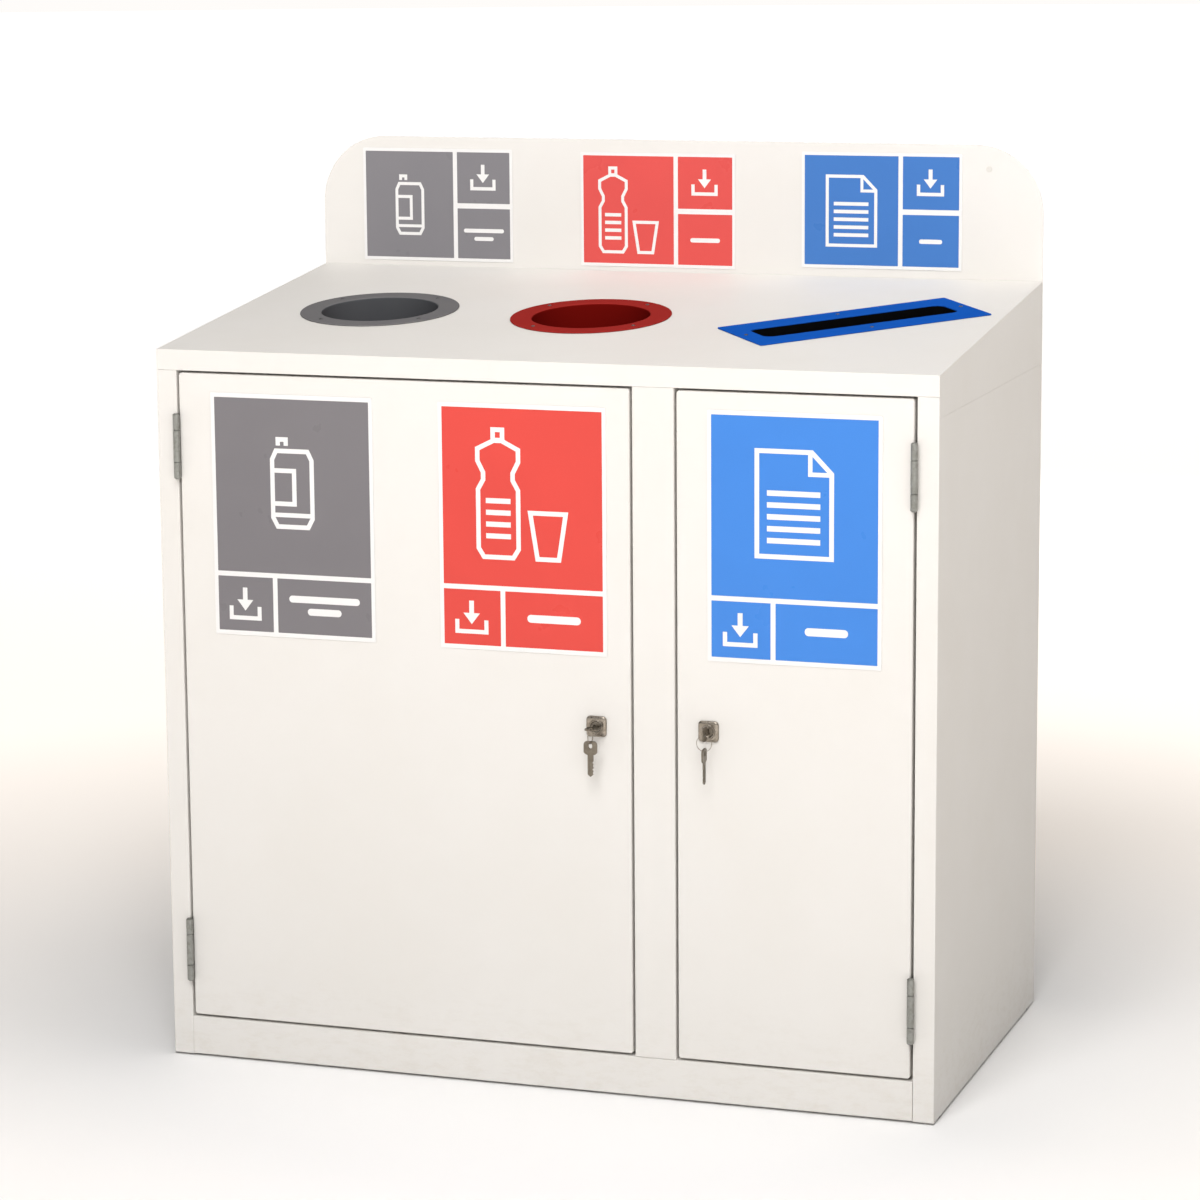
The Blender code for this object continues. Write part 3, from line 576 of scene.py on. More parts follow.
def door(side):
    """A pan with folded edges: rounded corners, a 1.9 mm fold radius, and a hole for the lock."""
    low, high = mm_box(side + "_door")
    width, height = high.x - low.x, high.z - low.z
    centre = ((low.x + high.x) / 2, (low.z + high.z) / 2)
    fold, inner = 1.9, 1.9 - SHEET
    levels = []

    def ring(offset, y):
        levels.append((rounded_box(width + 2 * offset, height + 2 * offset, max(3.6 + offset, 0.4), 6, centre), y))

    for i in range(6):
        angle = math.radians(90 * i / 5)
        ring(-fold + fold * math.sin(angle), low.y + fold - fold * math.cos(angle))
    ring(0.0, high.y - 0.25)
    ring(-0.25, high.y)
    ring(-SHEET + 0.25, high.y)
    ring(-SHEET, high.y - 0.25)
    for i in range(5):
        angle = math.radians(90 - 90 * i / 4)
        ring(-SHEET - inner + inner * math.sin(angle), low.y + SHEET + inner - inner * math.cos(angle))
    shape = lofted(levels, lambda a, b, d: at(a, d, b))
    obj = piece(side + "_door_pan", shape, WHITE, side + "_door", side + "_door", slot="white_powder_coat")
    lock = mm_box(side + "_lock_housing")
    middle = (lock[0] + lock[1]) / 2
    cut_away(obj, [turned([(0, -15), (9.4, -15), (9.4, 15), (0, 15)], 48, ALONG_Y, at(middle.x, 0, middle.z))])
    folded(side + "_door_stiffener", side + "_door_stiffener_hat", INSIDE, side + "_door")
    spots = bmesh.new()
    back = mm_box(side + "_door_stiffener")
    for z in range(9):
        for x in (back[0].x + 8, back[1].x - 8):
            turned(
                [(0, 0.0), (2.6, 0.0), (2.3, 0.22), (1.2, 0.34), (0, 0.34)],
                20,
                Matrix.Rotation(-math.pi / 2, 4, "X"),
                at(x, SHEET + 0.3 + SHEET, back[0].z + 40 + z * (back[1].z - back[0].z - 80) / 8),
                spots,
            )
    piece(side + "_spot_welds", spots, INSIDE, side + "_door", slot="white_powder_coat", sharp=60)


door("left")
door("right")

# ------------------------------------------------------------------------------------------------ lid openings


def aperture(stream, x, up, surface, throat_shade, slot):
    """A spun ring: flat flange with a rolled-over lip, a rounded throat and a sleeve below. The inside of the throat
    and sleeve takes a darker copy of the enamel, which is painted shade.
    """
    flange, throat, depth, top, under = 100.0, 73.0, 50.0, 1.8, 0.3
    profile = [(flange, under + 0.35), (flange - 0.3, under)]
    profile += [(throat + SHEET + 1.6, under)]
    profile += [(throat + SHEET + 0.5, under - 0.5), (throat + SHEET, under - 1.6)]
    profile += [(throat + SHEET, -depth + 0.3), (throat + SHEET - 0.3, -depth), (throat + 0.3, -depth), (throat, -depth + 0.3)]
    profile += [(throat, -24.0)]
    profile += arc(throat + 2.4, top - 2.4, 2.4, 180, 90, 8)
    profile += [(flange - 6.0, top)]
    profile += arc(flange - 0.8, top - 0.8, 0.8, 90, 0, 5)
    shape = turned(profile, 160, OFF_LID, on_lid(x, up))
    obj = piece(stream + "_ring", shape, surface, "cabinet", stream + "_aperture_ring", slot=slot)
    # The inner faces of the throat and sleeve get the darker copy of the enamel: painted shade.
    obj.data.materials.append(throat_shade)
    level = OFF_LID.inverted()
    for face in obj.data.polygons:
        spot = level @ (face.center - on_lid(x, up))
        if math.hypot(spot.x, spot.y) < (throat + 0.9) * MM and spot.z < (top - 1.2) * MM:
            face.material_index = 1
    rivets = bmesh.new()
    for i in range(4):
        angle = math.radians(54.8 + 90 * i)
        dome(rivets, on_lid(x + 87.5 * math.cos(angle), up + 87.5 * math.sin(angle), top), OFF_LID)
    piece(stream + "_ring_rivets", rivets, ZINC_DARK, "cabinet", slot="zinc_plate", sharp=50)


def dome(shape, where, turn, radius=2.5, height=1.0):
    """A pop rivet's head with its dimple."""
    profile = [(0, -0.2), (radius, -0.2), (radius, 0.12)]
    profile += [(radius * math.cos(t), 0.12 + (height - 0.12) * math.sin(t)) for t in (0.35, 0.75, 1.1)]
    profile += [(0.9, height * 0.97), (0.75, height * 0.7), (0, height * 0.62)]
    turned(profile, 28, turn, where, shape)


def skirt_sealer():
    """The bead that closes the seam between the hood's skirt and the side panel, under the paint."""
    low, high = mm_box("top_hood")
    for side, x, way in (("left", 0.0, 1), ("right", 975.0, -1)):
        shape = bmesh.new()
        outline = [(0.20, low.z - 0.85), (0.27, low.z - 0.97), (1.05, low.z - 0.97), (1.05, low.z - 0.03), (0.27, low.z - 0.03), (0.20, low.z - 0.15)]
        lofted([(outline, 1.9), (outline, 537.0)], lambda a, b, y: at(x + way * a, y, b), shape)
        piece(side + "_skirt_sealer", shape, WHITE, "cabinet", slot="white_powder_coat", sharp=40)


skirt_sealer()


aperture("cans", 190.0, 258.0, GREY, GREY_THROAT_SHADE, "grey_enamel")
aperture("plastic", 471.0, 255.0, RED, RED_THROAT_SHADE, "red_enamel")

PLATE_TURN = OFF_LID @ Matrix.Rotation(math.radians(42.4), 4, "Z")


def on_plate(a, b, height):
    return on_lid(803.0, 270.0) + PLATE_TURN.to_3x3() @ Vector((a, b, height)) * MM


def slot_plate():
    """The paper slot's plate and the black chute that hangs from it."""
    top, under = 1.8, 0.3
    outer = lambda grow: rounded_box(312.0 + 2 * grow, 120.0 + 2 * grow, 2.4 + grow, 8)
    hole = lambda grow: rounded_box(263.0 + 2 * grow, 52.0 + 2 * grow, 12.0 + grow, 8)
    levels = [
        (outer(-0.3), under),
        (outer(0.0), under + 0.3),
        (outer(0.0), top - 0.5),
        (outer(-0.15), top - 0.15),
        (outer(-0.5), top),
        (hole(0.8), top),
        (hole(0.25), top - 0.2),
        (hole(0.0), top - 0.7),
        (hole(0.0), under + 0.2),
        (hole(0.2), under),
    ]
    shape = lofted(levels, on_plate, closed=True)
    piece("slot_plate", shape, BLUE, "cabinet", "paper_slot_plate", slot="blue_enamel")
    wall = lambda grow: rounded_box(263.4 + 2 * grow, 52.4 + 2 * grow, 12.2 + grow, 8)
    levels = [
        (wall(1.4), 0.0),
        (wall(1.4), -49.6),
        (wall(1.1), -50.0),
        (wall(0.3), -50.0),
        (wall(0.0), -49.6),
        (wall(0.0), -0.4),
        (wall(0.3), 0.0),
    ]
    shape = lofted(levels, on_plate, closed=True)
    piece("slot_chute", shape, BLACK, "cabinet", "paper_slot_chute", slot="black_plastic")
    rivets = bmesh.new()
    for a, b in ((146.0, 0.0), (-146.0, 0.0), (0.0, 45.0), (0.0, -45.0)):
        dome(rivets, on_plate(a, b, top), PLATE_TURN)
    piece("slot_plate_rivets", rivets, ZINC_DARK, "cabinet", slot="zinc_plate", sharp=50)


slot_plate()

# ------------------------------------------------------------------------------------------------ signs


def offset_line(points, distance, closed):
    """A polyline moved sideways with mitred corners."""
    moved = []
    count = len(points)
    for i, point in enumerate(points):
        sides = []
        if closed or i > 0:
            a, b = Vector(points[i - 1]), Vector(point)
            sides.append(Vector((b.y - a.y, a.x - b.x)).normalized())
        if closed or i < count - 1:
            a, b = Vector(point), Vector(points[(i + 1) % count])
            sides.append(Vector((b.y - a.y, a.x - b.x)).normalized())
        middle = sum(sides, Vector((0.0, 0.0))).normalized()
        reach = distance / max(middle.dot(sides[0]), 0.35)
        moved.append((point[0] + middle.x * reach, point[1] + middle.y * reach))
    return moved


def line(points, width, closed=False):
    """The outline of a drawn line, as loops."""
    left = offset_line(points, width / 2, closed)
    right = offset_line(points, -width / 2, closed)
    return [left, right] if closed else [left + right[::-1]]


def bar(x0, y0, x1, y1):
    return [[(x0, y0), (x1, y0), (x1, y1), (x0, y1)]]


STROKE = 5.6


def can_picture():
    body = [(-20.5, -39.2), (20.5, -39.2), (25.7, -28.5), (25.7, 42.3), (19.8, 53.2), (-19.8, 53.2), (-25.7, 42.3), (-25.7, -28.5)]
    return [
        line(body, STROKE, True),
        bar(-23.5, 36.2, 23.5, 41.6),
        line([(-23.5, -15.2), (2.6, -15.2), (2.6, 25.2), (-23.5, 25.2)], STROKE),
        line([(-17.8, -45.6), (-17.8, -53.2), (-7.4, -53.2), (-7.4, -45.6)], STROKE),
    ]


def bottle_picture():
    half = [(5.0, -63.4), (25.6, -53.0), (25.6, -38.5), (18.6, -25.0), (18.6, -16.2), (25.2, -4.6), (25.2, 66.0), (18.6, 76.4)]
    body = [(x - 29.85, y) for x, y in half] + [(-x - 29.85, y) for x, y in reversed(half)]
    made = [line(body, STROKE, True), line([(-35.75, -76.4), (-23.95, -76.4), (-23.95, -64.0), (-35.75, -64.0)], STROKE, True)]
    for y in (8.7, 22.8, 36.9, 51.0):
        made.append(bar(-45.4, y - 3.1, -14.2, y + 3.1))
    made.append(line([(10.3, 21.4), (54.7, 21.4), (45.9, 76.4), (19.0, 76.4)], STROKE, True))
    return made


def paper_picture():
    sheet = [(-44.85, -61.8), (21.1, -61.8), (44.85, -37.4), (44.85, 61.8), (-44.85, 61.8)]
    made = [line(sheet, STROKE, True), line([(19.2, -60.0), (19.2, -36.2), (43.0, -36.2)], 5.2)]
    for y in (-12.7, 1.2, 15.1, 29.1, 43.0):
        made.append(bar(-32.7, y - 3.2, 31.3, y + 3.2))
    return made


def drop_in_mark():
    """A plain arrow pointing down into a tray."""
    return [
        bar(-3.0, -20.0, 3.0, -4.0),
        [[(-10.5, -5.0), (10.5, -5.0), (0.0, 8.5)]],
        line([(-18.5, 3.0), (-18.5, 17.5), (18.5, 17.5), (18.5, 3.0)], 5.2),
    ]


PICTURES = {"cans": can_picture, "plastic": bottle_picture, "paper": paper_picture}
# Rows that stand for words, as (width, thickness, from the top of the coloured field), and the fields' colours.
DOOR_ROWS = {"cans": ((92, 8.5, 243.5), (44, 8.5, 258.5)), "plastic": ((67, 9.5, 250.5),), "paper": ((52, 9.5, 250.5),)}
BOARD_ROWS = {"cans": ((56, 5.2, 102.8), (27, 5.2, 113.4)), "plastic": ((40, 5.6, 107.4),), "paper": ((30, 5.6, 107.4),)}
DOOR_FILM = {"cans": FILM_GREY, "plastic": FILM_RED, "paper": FILM_BLUE}
BOARD_FILM = {"cans": FILM_GREY_UP, "plastic": FILM_RED_UP, "paper": FILM_BLUE_UP}
SIGN_SLOT = {"cans": "sign_grey", "plastic": "sign_red", "paper": "sign_blue"}


def sign(stream, kind, body):
    node = f"{stream}_{kind}_sign"
    low, high = mm_box(node)
    upright = kind == "door"
    inset = (4.85, 5.5) if upright else (3.85, 4.25)
    left, top = low.x + inset[0], high.z - inset[1]
    width, height = high.x - low.x - 2 * inset[0], high.z - low.z - 2 * inset[1]

    def place(a, b, depth):
        return at(left + a, depth, top - b)

    width_all, height_all = high.x - low.x, high.z - low.z
    outline = rounded_box(width_all, height_all, 1.6, 5, (width / 2, height / 2))
    base = piece(node + "_base", prism([outline], place, low.y + 0.1, high.y), FILM_WHITE, body, node, slot=SIGN_SLOT[stream])
    rounding(base, 0.15, 2, 60.0)
    if upright:
        cells = [(0, 0, width, height - 73.0), (0, height - 67.0, 71.9, height), (77.9, height - 67.0, width, height)]
        picture_at, scale = (width / 2, 102.0), 1.0
        mark_at, mark_scale = (35.0, height - 33.5), 1.0
        rows, words_x = DOOR_ROWS[stream], (77.9 + width) / 2
        film = DOOR_FILM[stream]
    else:
        cells = [(0, 0, 123.2, height), (129.0, 0, width, 67.0), (129.0, 73.8, width, height)]
        picture_at, scale = (61.8, 70.4), 0.712
        mark_at, mark_scale = (165.0, 32.8), 0.84
        rows, words_x = BOARD_ROWS[stream], (129.0 + width) / 2
        film = BOARD_FILM[stream]
    colour = bmesh.new()
    for x0, y0, x1, y1 in cells:
        prism([rounded_box(x1 - x0, y1 - y0, 0.5, 2, ((x0 + x1) / 2, (y0 + y1) / 2))], place, low.y + 0.04, low.y + 0.3, colour)
    piece(node + "_field", colour, film, body, slot=SIGN_SLOT[stream], sharp=50)
    print_layer = bmesh.new()
    for number, loops in enumerate(PICTURES[stream]()):
        step = 0.004 * number
        prism([[(picture_at[0] + x * scale, picture_at[1] + y * scale) for x, y in loop] for loop in loops], place, low.y + step, low.y + 0.2 - step, print_layer)
    for number, loops in enumerate(drop_in_mark()):
        step = 0.004 * number
        prism([[(mark_at[0] + x * mark_scale, mark_at[1] + y * mark_scale) for x, y in loop] for loop in loops], place, low.y + step, low.y + 0.2 - step, print_layer)
    for long, thick, y in rows:
        prism([rounded_box(long, thick, thick / 2 - 0.2, 5, (words_x, y))], place, low.y, low.y + 0.2, print_layer)
    piece(node + "_print", print_layer, FILM_WHITE, body, slot=SIGN_SLOT[stream], sharp=50)


for stream in ("cans", "plastic", "paper"):
    sign(stream, "door", "right_door" if stream == "paper" else "left_door")
    sign(stream, "board", "cabinet")

# ------------------------------------------------------------------------------------------------ small white parts


def board_cap():
    """The press-in cap that fills a spare hole near the board's right end."""
    face = mm_box("sign_board")[0].y
    turn = Matrix.Rotation(math.pi / 2, 4, "X")
    profile = [(0, -0.6), (3.9, -0.6), (3.9, 0.05), (3.7, 0.35), (3.2, 0.5), (2.7, 0.42), (2.3, 0.22), (0, 0.18)]
    piece("board_hole_cap", turned(profile, 40, turn, at(904.8, face, 1080.7)), PLUG_CAP, "cabinet", sharp=60)


board_cap()


def seam_rivets():
    """Rivets that hold the board and the back panel to the hood's rear flange."""
    shape = bmesh.new()
    back = mm_box("sign_board")[1].y
    turn = Matrix.Rotation(-math.pi / 2, 4, "X")
    for i in range(9):
        dome(shape, at(45 + i * 885 / 8, back, 921), turn, 3.2, 1.2)
    piece("board_rivets", shape, WHITE, "cabinet", slot="white_powder_coat", sharp=50)
    shape = bmesh.new()
    for i in range(8):
        for x in (10.0, 965.0):
            dome(shape, at(x, back, 60 + i * 760 / 7), turn, 3.2, 1.2)
    for i in range(7):
        dome(shape, at(120 + i * 735 / 6, back, 45), turn, 3.2, 1.2)
    piece("back_rivets", shape, WHITE, "cabinet", slot="white_powder_coat", sharp=50)


seam_rivets()

# ------------------------------------------------------------------------------------------------ hinges


def knuckle(shape, x, y, low, high, radius=4.25, bore=2.3):
    ease = 0.45
    profile = [(bore, low + 0.2), (bore + 0.2, low), (radius - ease, low), (radius - 0.12, low + 0.18), (radius, low + ease)]
    profile += [(radius, high - ease), (radius - 0.12, high - 0.18), (radius - ease, high), (bore + 0.2, high), (bore, high - 0.2)]
    turned(profile, 40, Matrix.Identity(4), at(x, y, 0), shape)


def eased_box(shape, low, high, ease=0.25):
    """A box with chamfered edges, in millimetres."""
    made = bmesh.new()
    bmesh.ops.create_cube(made, size=1.0)
    size = [h - l for l, h in zip(low, high)]
    centre = [(h + l) / 2 for l, h in zip(low, high)]
    for vert in made.verts:
        vert.co = Vector([c + v * s for c, v, s in zip(centre, vert.co, size)])
    bmesh.ops.bevel(made, geom=made.edges[:], offset=ease, segments=2, profile=0.5, affect="EDGES", clamp_overlap=True)
    for vert in made.verts:
        vert.co = at(*vert.co)
    data = bpy.data.meshes.new("part")
    made.to_mesh(data)
    made.free()
    shape.from_mesh(data)
    bpy.data.meshes.remove(data)


def hinge(side, level):
    name = f"{side}_{level}"
    pin_low, pin_high = mm_box(name + "_hinge_pin")
    x, y, z = [(a + b) / 2 for a, b in zip(pin_low, pin_high)]
    length = 78.0
    quarter = length / 4
    flip = 1.0 if side == "left" else -1.0
    for kind, body, way, spans in (
        ("frame_leaf", "cabinet", -flip, ((-2 * quarter, -quarter - 0.2), (quarter + 0.2, 2 * quarter))),
        ("door_leaf", side + "_door", flip, ((-quarter + 0.2, quarter - 0.2),)),
    ):
        shape = bmesh.new()
        across = sorted((x + way * 0.2, x + way * 1.2))
        eased_box(shape, (across[0], -1.9, z - length / 2), (across[1], 18.0, z + length / 2), 0.2)
        for low, high in spans:
            eased_box(shape, (across[0] + 0.05, -4.4, z + low + 0.2), (across[1] - 0.05, -1.0, z + high - 0.2), 0.15)
            knuckle(shape, x, y, z + low, z + high)
        piece(f"{name}_{kind}_steel", shape, ZINC, body, f"{name}_{kind}", slot="zinc_plate", sharp=38)
    ends = []
    half = length / 2
    ends += [(0, -half - 1.2), (2.6, -half - 1.2), (3.2, -half - 0.7), (3.2, -half - 0.3), (2.0, -half - 0.3)]
    ends += [(2.0, half + 0.3), (3.2, half + 0.3), (3.2, half + 0.7), (2.6, half + 1.2), (0, half + 1.2)]
    shape = turned(ends, 32, Matrix.Identity(4), at(x, y, z))
    piece(name + "_pin_steel", shape, ZINC, "cabinet", name + "_hinge_pin", slot="zinc_plate", sharp=38)


for side in ("left", "right"):
    for level in ("upper", "lower"):
        hinge(side, level)

# ------------------------------------------------------------------------------------------------ locks and keys

LOCK_TURN = Matrix.Rotation(math.pi / 2, 4, "X")  # local z points out of the front


def lock(side):
    body = side + "_door"
    turning = side + "_lock"
    low, high = mm_box(side + "_lock_housing")
    x, z = (low.x + high.x) / 2, (low.z + high.z) / 2
    front = low.y

    def place(a, b, height):
        return at(x + a, front - height, z + b)

    square = lambda grow: rounded_box(25.0 + 2 * grow, 25.0 + 2 * grow, max(4.6 + grow, 0.6), 8)
    ring = lambda radius: [
        (radius * math.cos(t), radius * math.sin(t))
        for t in [2 * math.pi * i / 36 for i in range(36)]
    ]
    levels = [
        (square(-0.3), -3.7),
        (square(0.0), -3.4),
        (square(0.0), -1.9),
        (square(-0.35), -1.05),
        (square(-1.1), -0.45),
        (square(-2.2), -0.12),
        (square(-3.2), 0.0),
        (ring(8.9), 0.0),
        (ring(8.75), -0.35),
        (ring(8.4), -0.4),
        (ring(8.2), 0.1),
        (ring(7.9), 0.35),
        (ring(6.9), 0.35),
        (ring(6.5), 0.1),
        (ring(6.35), -0.5),
        (ring(6.35), -24.5),
        (ring(9.0), -24.5),
        (ring(9.0), -3.7),
    ]
    shape = lofted(levels, place, closed=True)
    piece(side + "_lock_body", shape, NICKEL, body, side + "_lock_housing", slot="nickel_plate", sharp=40)

    nut_low, nut_high = mm_box(side + "_lock_nut")
    hexagon = [(12.6 * math.cos(math.pi * i / 3), 12.6 * math.sin(math.pi * i / 3)) for i in range(6)]
    hole = [(9.3 * math.cos(math.pi * i / 24), 9.3 * math.sin(math.pi * i / 24)) for i in range(48)]
    shape = prism([hexagon, hole[::-1]], lambda a, b, d: at(x + a, d, z + b), nut_low.y, nut_high.y)
    nut = piece(side + "_nut", shape, ZINC, body, side + "_lock_nut", slot="zinc_plate")
    rounding(nut, 0.35, 2, 50.0)

    plug = softened(side + "_lock_plug", side + "_plug", NICKEL, turning, "nickel_plate", 0.25, 2, 45.0)
    cam = softened(side + "_lock_cam", side + "_cam", ZINC, turning, "zinc_plate", 0.35, 2, 45.0)
    screw_low, screw_high = mm_box(side + "_cam_screw")
    depth = screw_high.y - screw_low.y
    profile = [(0, 0), (1.6, 0), (1.75, 0.2), (1.75, depth - 2.2), (5.5, depth - 2.2), (5.5, depth - 0.9)]
    profile += [(5.1, depth - 0.3), (4.2, depth), (0, depth)]
    shape = turned(profile, 40, Matrix.Rotation(-math.pi / 2, 4, "X"), at(x, screw_low.y, z))
    screw = piece(side + "_screw", shape, ZINC_DARK, turning, side + "_cam_screw", slot="zinc_plate", sharp=40)
    cross = []
    for size in ((5.6, 1.1), (1.1, 5.6)):
        block = bmesh.new()
        bmesh.ops.create_cube(block, size=1.0)
        for vert in block.verts:
            vert.co = at(x + vert.co.x * size[0], screw_high.y + vert.co.y * 2.0, z + vert.co.z * size[1])
        cross.append(block)
    cut_away(screw, cross)
    return plug, cam


lock("left")
lock("right")


def key(node, body, lying):
    """A CAD key with eased edges and a milled groove down both faces of the blade."""
    obj = piece(node + "_blank", cad_shape(node), NICKEL_DARK, body, node, slot="nickel_plate")
    low, high = mm_box(node)
    middle = (low + high) / 2
    grooves = []
    for way in (-1, 1):
        block = bmesh.new()
        bmesh.ops.create_cube(block, size=1.0)
        for vert in block.verts:
            a, b, c = vert.co  # a along the key, b across it, c through it
            if lying == "in_flat":
                p = (middle.x - 0.9 + b * 1.5, high.y - 12.5 + a * 23.0, middle.z + way * 0.9 + c * 0.7)
            elif lying == "in_edge":
                p = (middle.x + way * 0.9 + c * 0.7, high.y - 12.5 + a * 23.0, middle.z + 0.9 + b * 1.5)
            elif lying == "down_face":
                p = (middle.x - 0.4 + b * 1.5, middle.y + way * 0.9 + c * 0.7, low.z + 12.5 + a * 23.0)
            else:
                p = (middle.x + way * 0.9 + c * 0.7, middle.y - 0.4 + b * 1.5, low.z + 12.5 + a * 23.0)
            vert.co = at(*p)
        grooves.append(block)
    cut_away(obj, grooves)
    rounding(obj, 0.18, 2, 40.0, True)
    return obj


key("left_key", "left_lock", "in_flat")
key("right_key", "right_lock", "in_edge")
key("left_spare_key", "left_spare_key", "down_face")
key("right_spare_key", "right_spare_key", "down_edge")


def split_ring(side):
    """A key ring wound from one wire in two turns that lie against each other."""
    node = side + "_key_ring"
    low, high = mm_box(node)
    centre = (low + high) / 2
    radius = (high.z - low.z) / 2 - 0.65
    wire = 0.34
    curve = bpy.data.curves.new(node + "_wire", "CURVE")
    curve.dimensions = "3D"
    curve.bevel_depth = wire * MM
    curve.bevel_resolution = 4
    curve.use_fill_caps = True
    spline = curve.splines.new("POLY")
    steps = 150
    spline.points.add(steps)
    for i, point in enumerate(spline.points):
        share = i / steps
        angle = math.radians(200) + share * 2 * math.pi * 1.985
        turn_share = share * 2
        side_way = -0.33 + 0.66 * min(max((turn_share - 0.93) / 0.14, 0.0), 1.0)
        a, b = radius * math.cos(angle), radius * math.sin(angle)
        where = at(centre.x + side_way, centre.y + a, centre.z + b) if side == "left" else at(centre.x + a, centre.y + side_way, centre.z + b)
        point.co = (*where, 1.0)
    obj = bpy.data.objects.new(node + "_guide", curve)
    bpy.context.scene.collection.objects.link(obj)
    bpy.context.view_layer.update()
    data = bpy.data.meshes.new_from_object(obj.evaluated_get(bpy.context.evaluated_depsgraph_get()))
    bpy.data.objects.remove(obj, do_unlink=True)
    bpy.data.curves.remove(curve)
    shape = bmesh.new()
    shape.from_mesh(data)
    bpy.data.meshes.remove(data)
    bmesh.ops.remove_doubles(shape, verts=shape.verts, dist=1e-6)
    piece(node + "_wire", shape, NICKEL, node, node, slot="nickel_plate", weight=False, sharp=60)


split_ring("left")
split_ring("right")

# ------------------------------------------------------------------------------------------------ liners and glides


def liner(stream):
    node = stream + "_liner"
    low, high = mm_box(node)
    wall = 4.0
    width, depth = high.x - low.x - 2 * wall, high.y - low.y - 2 * wall
    centre = ((low.x + high.x) / 2, (low.y + high.y) / 2)
    levels = []

    def ring(offset, z):
        levels.append((rounded_box(width + 2 * offset, depth + 2 * offset, 22.0 + offset, 12, centre), z))

    ring(-3.0, low.z)
    ring(-1.0, low.z + 0.7)
    ring(0.0, low.z + 3.0)
    for swage in (0.16, 0.80):
        z = low.z + (high.z - low.z) * swage
        for offset, rise in ((0.0, -7), (0.9, -4), (1.5, 0), (0.9, 4), (0.0, 7)):
            ring(offset, z + rise)
    ring(0.0, high.z - 9.4)
    for i in range(13):
        angle = math.radians(-110 + 290 * i / 12)
        ring(1.75 + 2.1 * math.cos(angle), high.z - 4.1 + 4.1 * math.sin(angle))
    ring(-1.0, high.z - 9.0)
    for swage in (0.80, 0.16):
        z = low.z + (high.z - low.z) * swage
        for offset, rise in ((-1.0, 7), (-0.1, 4), (0.5, 0), (-0.1, -4), (-1.0, -7)):
            ring(offset, z + rise)
    ring(-1.0, low.z + 4.0)
    ring(-4.0, low.z + 1.2)
    shape = lofted(levels, lambda a, b, h: at(a, b, h))
    piece(stream + "_liner_bin", shape, GALVANISED, "cabinet", node, slot="galvanised_steel", sharp=70)
    seam = bmesh.new()
    x = centre[0]
    eased_box(seam, (x - 4, low.y + wall - 1.0, low.z + 6), (x + 4, low.y + wall + 0.4, high.z - 10), 0.45)
    piece(stream + "_liner_seam", seam, GALVANISED, "cabinet", slot="galvanised_steel", sharp=70)


for stream in ("cans", "plastic", "paper"):
    liner(stream)

for row in ("front", "rear"):
    for side in ("left", "right"):
        node = f"foot_{row}_{side}"
        low, high = mm_box(node)
        x, y = (low.x + high.x) / 2, (low.y + high.y) / 2
        profile = [(0, 0), (11.3, 0), (12.1, 0.3), (12.5, 1.0), (12.5, 2.2), (12.2, 2.6), (4.2, 2.7), (4.2, high.z - 0.5), (3.7, high.z), (0, high.z)]
        piece(node + "_glide", turned(profile, 48, Matrix.Identity(4), at(x, y, 0)), NYLON, "cabinet", node, slot="nylon", sharp=40)

# ------------------------------------------------------------------------------------------------ set, light, camera


def floor():
    shape = bmesh.new()
    bmesh.ops.create_circle(shape, cap_ends=True, segments=96, radius=40.0)
    data = bpy.data.meshes.new("studio_floor")
    shape.to_mesh(data)
    shape.free()
    obj = bpy.data.objects.new("studio_floor", data)
    bpy.context.scene.collection.objects.link(obj)
    made = bpy.data.materials.new("studio_floor")
    made.use_nodes = True
    shader = made.node_tree.nodes["Principled BSDF"]
    shader.inputs["Base Color"].default_value = (0.95, 0.95, 0.95, 1.0)
    shader.inputs["Roughness"].default_value = 0.9
    shader.inputs["Specular IOR Level"].default_value = 0.0
    shader.inputs["Emission Color"].default_value = (1, 1, 1, 1)
    tree = made.node_tree
    place = tree.nodes.new("ShaderNodeTexCoord")
    reach = tree.nodes.new("ShaderNodeVectorMath")
    reach.operation = "LENGTH"
    away = tree.nodes.new("ShaderNodeMapRange")
    away.inputs["From Max"].default_value = 10.0
    glow = tree.nodes.new("ShaderNodeValToRGB")
    glow.color_ramp.elements[0].position = 0.06
    glow.color_ramp.elements[0].color = (0.0, 0.0, 0.0, 1.0)
    glow.color_ramp.elements[1].position = 1.0
    glow.color_ramp.elements[1].color = (1.0, 1.0, 1.0, 1.0)
    for position, colour in ((0.12, (0.26, 0.218, 0.178)), (0.21, (0.66, 0.58, 0.505)), (0.45, (0.88, 0.83, 0.78))):
        glow.color_ramp.elements.new(position).color = (*colour, 1.0)
    tree.links.new(place.outputs["Object"], reach.inputs[0])
    tree.links.new(reach.outputs["Value"], away.inputs["Value"])
    tree.links.new(away.outputs["Result"], glow.inputs["Fac"])
    tree.links.new(glow.outputs["Color"], shader.inputs["Emission Color"])
    shader.inputs["Emission Strength"].default_value = FLOOR_GLOW
    obj.data.materials.append(made)


FLOOR_GLOW = 1.0  # from black beside the station to white far away
BAND = 1.0
SKY = 0.10
SKY_TINT = (1.0, 0.95, 0.905)
# name: azimuth to the right of straight ahead, elevation, distance (m), size (m), watts, colour
LAMPS = {
    "key_right": (38.0, 16.0, 3.6, 1.1, 9.0, (1.0, 0.99, 0.97)),
    "fill_high": (8.0, 42.0, 4.6, 2.2, 140.0, (1.0, 0.99, 0.985)),
    "top_right": (80.0, 72.0, 2.4, 1.6, 17.0, (1.0, 0.97, 0.94)),
    "overhead": (0.0, 78.0, 2.6, 1.6, 7.0, (1.0, 1.0, 1.0)),
    "rear_fill": (180.0, 14.0, 4.6, 2.0, 24.0, (1.0, 0.985, 0.97)),
}

floor()


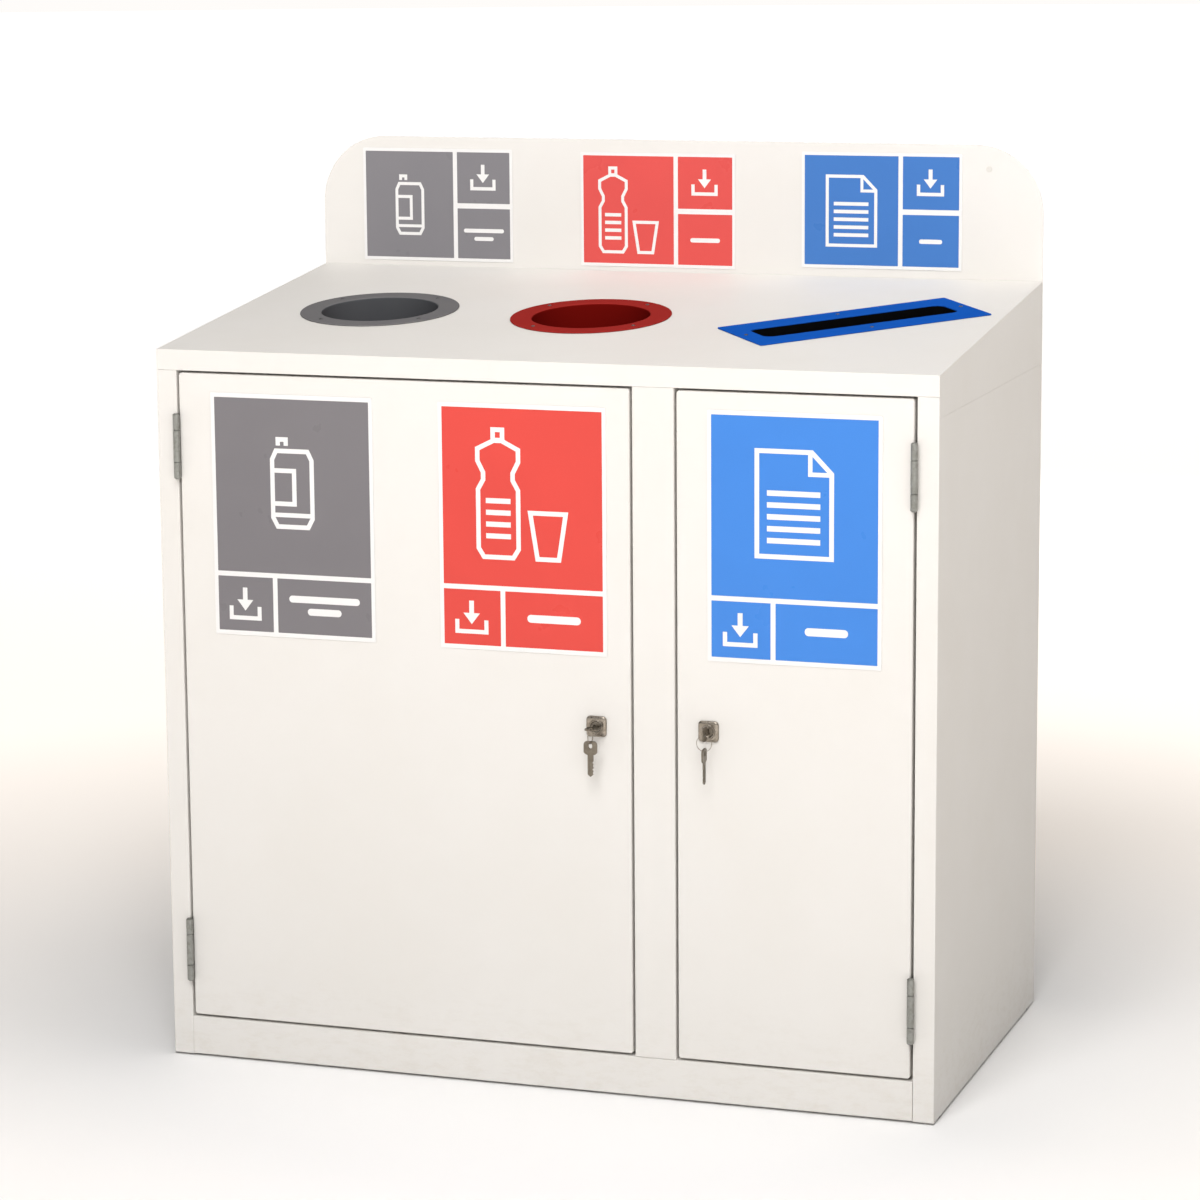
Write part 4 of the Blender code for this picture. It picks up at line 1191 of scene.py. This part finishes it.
def sky():
    """White near the horizon, and the sky's own level higher up."""
    world = bpy.data.worlds.new("studio")
    bpy.context.scene.world = world
    world.use_nodes = True
    tree = world.node_tree
    place = tree.nodes.new("ShaderNodeTexCoord")
    split = tree.nodes.new("ShaderNodeSeparateXYZ")
    ramp = tree.nodes.new("ShaderNodeValToRGB")
    tree.links.new(place.outputs["Generated"], split.inputs["Vector"])
    tree.links.new(split.outputs["Z"], ramp.inputs["Fac"])
    ramp.color_ramp.elements[0].position = 0.05
    ramp.color_ramp.elements[0].color = (BAND, 0.975 * BAND, 0.95 * BAND, 1.0)
    ramp.color_ramp.elements[1].position = 0.30
    ramp.color_ramp.elements[1].color = (*(SKY * c for c in SKY_TINT), 1.0)
    tree.links.new(ramp.outputs["Color"], tree.nodes["Background"].inputs["Color"])
    tree.nodes["Background"].inputs["Strength"].default_value = 1.0


sky()

TARGET = Vector((0.0, 0.0, 0.55))
for name, (azimuth, elevation, distance, size, watts, colour) in LAMPS.items():
    lamp = bpy.data.lights.new(name, "AREA")
    lamp.shape = "SQUARE"
    lamp.size = size
    lamp.energy = watts
    lamp.color = colour
    obj = bpy.data.objects.new(name, lamp)
    bpy.context.scene.collection.objects.link(obj)
    a, e = math.radians(azimuth), math.radians(elevation)
    way = Vector((math.sin(a) * math.cos(e), -math.cos(a) * math.cos(e), math.sin(e)))
    obj.location = TARGET + way * distance
    obj.rotation_mode = "QUATERNION"
    obj.rotation_quaternion = (-way).to_track_quat("-Z", "Y")


def camera():
    azimuth, elevation, roll = math.radians(18.73), math.radians(10.41), math.radians(-0.422)
    z = Vector((math.sin(azimuth) * math.cos(elevation), -math.cos(azimuth) * math.cos(elevation), math.sin(elevation)))
    x0 = Vector((math.cos(azimuth), math.sin(azimuth), 0.0))
    y0 = z.cross(x0)
    x = math.cos(roll) * x0 + math.sin(roll) * y0
    y = -math.sin(roll) * x0 + math.cos(roll) * y0
    data = bpy.data.cameras.new("camera")
    data.sensor_width = 36.0
    data.lens = 118.2
    data.clip_start, data.clip_end = 0.1, 100.0
    obj = bpy.data.objects.new("camera", data)
    bpy.context.scene.collection.objects.link(obj)
    turn = Matrix((x, y, z)).transposed().to_4x4()
    obj.matrix_world = Matrix.Translation(at(2033.48, -4327.83, 1446.54)) @ turn
    bpy.context.scene.camera = obj


camera()
bpy.context.scene.view_settings.view_transform = "Standard"
bpy.context.scene.view_settings.look = "None"
